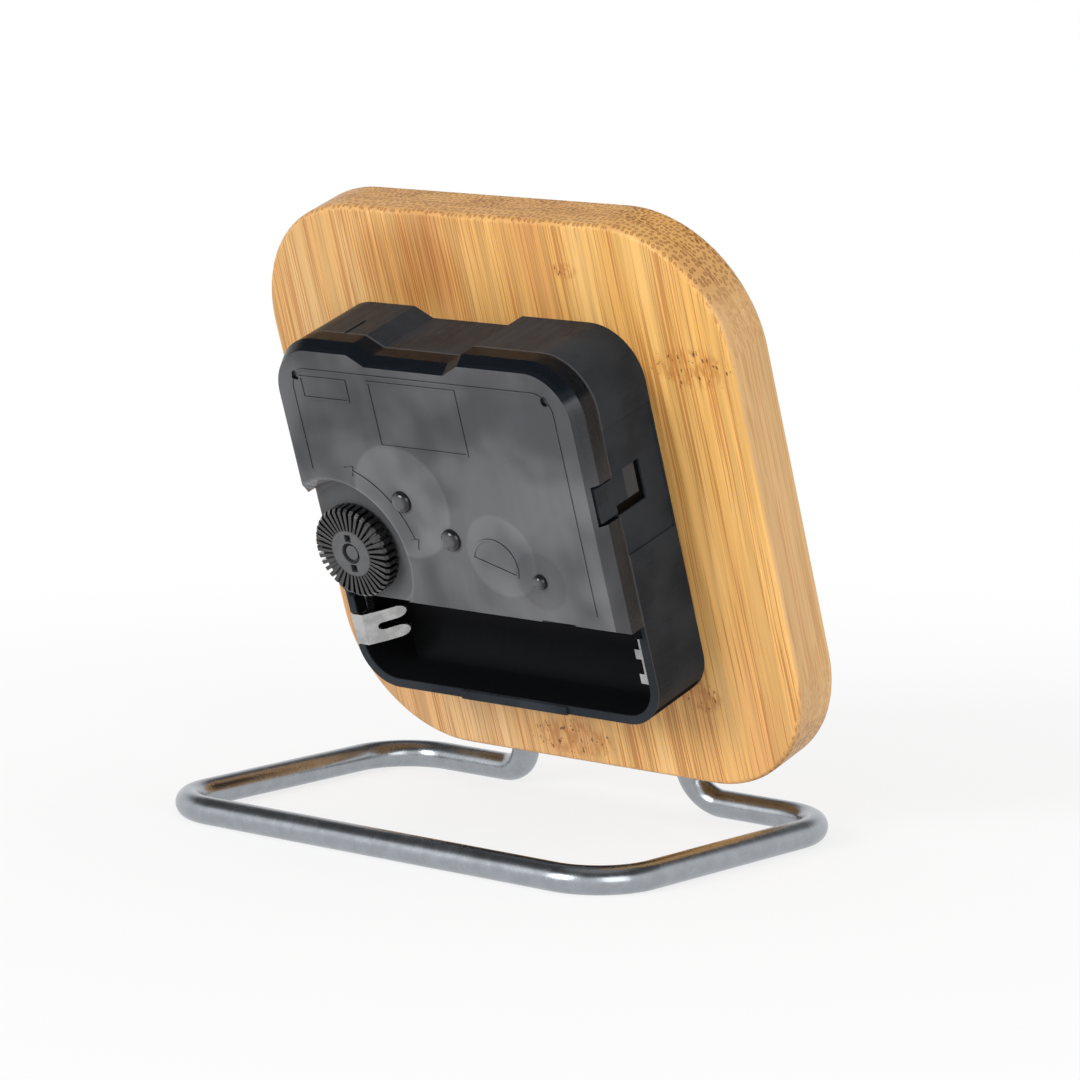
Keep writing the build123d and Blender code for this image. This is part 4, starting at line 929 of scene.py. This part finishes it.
def makeDome(name, place, radius, height, material):
    rings, sides, fullness = (pivotDomes[key] for key in ("rings", "sides", "fullness"))
    points = []
    for ring in range(rings):
        lift = math.pi / 2 * ring / rings
        reach = radius * math.cos(lift) ** fullness
        rise = height * math.sin(lift) ** fullness
        for side in range(sides):
            around = 2 * math.pi * side / sides
            points.append(boardPoint(reach * math.cos(around), reach * math.sin(around),
                                     pivotDomes["level"] + rise, place))
    points.append(boardPoint(0.0, 0.0, pivotDomes["level"] + height, place))
    faces = []
    for ring in range(rings - 1):
        for side in range(sides):
            here, after = ring * sides, (side + 1) % sides
            faces.append((here + side, here + after, here + sides + after, here + sides + side))
    last, top = (rings - 1) * sides, len(points) - 1
    faces += [(last + side, last + (side + 1) % sides, top) for side in range(sides)]
    faces.append(tuple(reversed(range(sides))))
    shapeFrom(name, points, faces, material)


domeMaterial = domeFinish()
for domeJoint, domeRadius, domeHeight in pivotDomes["spots"]:
    domeName = "dome_" + domeJoint.split("_")[0]
    domePlace = Vector(hingePlans[domeJoint]["pos_m"])
    makeDome(domeName, domePlace, domeRadius, domeHeight, domeMaterial)
print("pivot domes added")

# Floor, light and camera
studio = {
    "floorSize": 8.0,
    "floorColor": (0.88, 0.88, 0.885),
    "floorLift": 1.01,
    "floorMottle": 30.0,
    # share of plain white that the camera sees: near the clock, rising to all of it further off
    "whiteFade": (0.08, 0.24, 0.74, 1.0),
    "skyStrength": 0.74,
    # what a gloss sees overhead: place between the horizon and straight up, brightness
    "ceiling": [(0.0, 1.0), (0.42, 1.0), (0.60, 0.10), (0.85, 0.06), (0.97, 0.35)],
    "aim": (0.0, 0.0, 0.045),
    # lamps: place, size and power
    "lamps": {
        "keyLamp": ((0.34, 1.30, 0.50), (0.6, 0.6), 10.5),
        "fillLamp": ((-1.10, 0.55, 0.35), (0.8, 0.8), 4.5),
    },
}
white = (*alike(1.0), 1.0)


def lookRays(tree):
    # rays that see the backdrop itself: from the camera, off a gloss or through a clear piece
    path = addNode(tree, "ShaderNodeLightPath")
    seen = calc(tree, "MAXIMUM", path.outputs["Is Camera Ray"], path.outputs["Is Glossy Ray"])
    return path, calc(tree, "MAXIMUM", seen, path.outputs["Is Transmission Ray"])


def makeFloor():
    bpy.ops.mesh.primitive_plane_add(size=studio["floorSize"], location=(0.0, 0.0, 0.0))
    floor = bpy.context.object
    floor.name = "floor"
    material, tree = makeTree("studioFloor")
    place = addNode(tree, "ShaderNodeTexCoord").outputs["Object"]
    shade = mixColor(tree, noise(tree, place, studio["floorMottle"]), studio["floorColor"],
                     share(studio["floorColor"], studio["floorLift"]))
    paper = addNode(tree, "ShaderNodeBsdfDiffuse", {"Color": shade})
    glow = addNode(tree, "ShaderNodeEmission", {"Color": white, "Strength": 1.0})
    reach = addNode(tree, "ShaderNodeVectorMath", {0: place}, operation="LENGTH").outputs["Value"]
    part = fade(tree, reach, *studio["whiteFade"])
    seen = lookRays(tree)[1]
    mixed = addNode(tree, "ShaderNodeMixShader", {
        0: times(tree, part, seen), 1: paper.outputs[0], 2: glow.outputs[0]})
    addNode(tree, "ShaderNodeOutputMaterial", {"Surface": mixed.outputs[0]})
    floor.data.materials.append(material)


def makeWorld():
    world = bpy.data.worlds.new("studio")
    bpy.context.scene.world = world
    world.use_nodes = True
    tree = world.node_tree
    tree.nodes.clear()
    path, seen = lookRays(tree)
    direction = addNode(tree, "ShaderNodeTexCoord").outputs["Generated"]
    height = addNode(tree, "ShaderNodeSeparateXYZ", {0: direction}).outputs["Z"]
    ceiling = ramp(tree, height, [(place, alike(level)) for place, level in studio["ceiling"]])
    shown = mixColor(tree, path.outputs["Is Glossy Ray"], alike(1.0), ceiling)
    soft = addNode(tree, "ShaderNodeBackground",
                   {"Color": white, "Strength": studio["skyStrength"]})
    bright = addNode(tree, "ShaderNodeBackground", {"Color": shown, "Strength": 1.0})
    mixed = addNode(tree, "ShaderNodeMixShader", {
        0: seen, 1: soft.outputs[0], 2: bright.outputs[0]})
    addNode(tree, "ShaderNodeOutputWorld", {"Surface": mixed.outputs[0]})


def makeLamp(name, place, size, power):
    lamp = bpy.data.lights.new(name, "AREA")
    lamp.shape = "RECTANGLE"
    lamp.size, lamp.size_y = size
    lamp.energy = power
    holder = bpy.data.objects.new(name, lamp)
    bpy.context.scene.collection.objects.link(holder)
    holder.location = place
    sight = Vector(studio["aim"]) - Vector(place)
    holder.rotation_euler = sight.to_track_quat("-Z", "Y").to_euler()


# Camera at the photograph's viewing angle: place in metres, turn in degrees, lens in millimetres
cameraPlan = {
    "place": (-0.449415, 0.513037, 0.149423),
    "turn": (80.958117, 0.127819, -139.312358),
    "lens": 164.539,
    "sensor": 36.0,
    "nearest": 0.01,
    "farthest": 50.0,
}


def makeCamera():
    data = bpy.data.cameras.new("camera")
    data.lens = cameraPlan["lens"]
    data.sensor_width = cameraPlan["sensor"]
    data.clip_start = cameraPlan["nearest"]
    data.clip_end = cameraPlan["farthest"]
    camera = bpy.data.objects.new("camera", data)
    bpy.context.scene.collection.objects.link(camera)
    camera.location = cameraPlan["place"]
    camera.rotation_euler = [math.radians(angle) for angle in cameraPlan["turn"]]
    bpy.context.scene.camera = camera


makeFloor()
makeWorld()
for lampName, lampPlan in studio["lamps"].items():
    makeLamp(lampName, *lampPlan)
makeCamera()
bpy.context.scene.view_settings.view_transform = "Standard"
print("studio set")
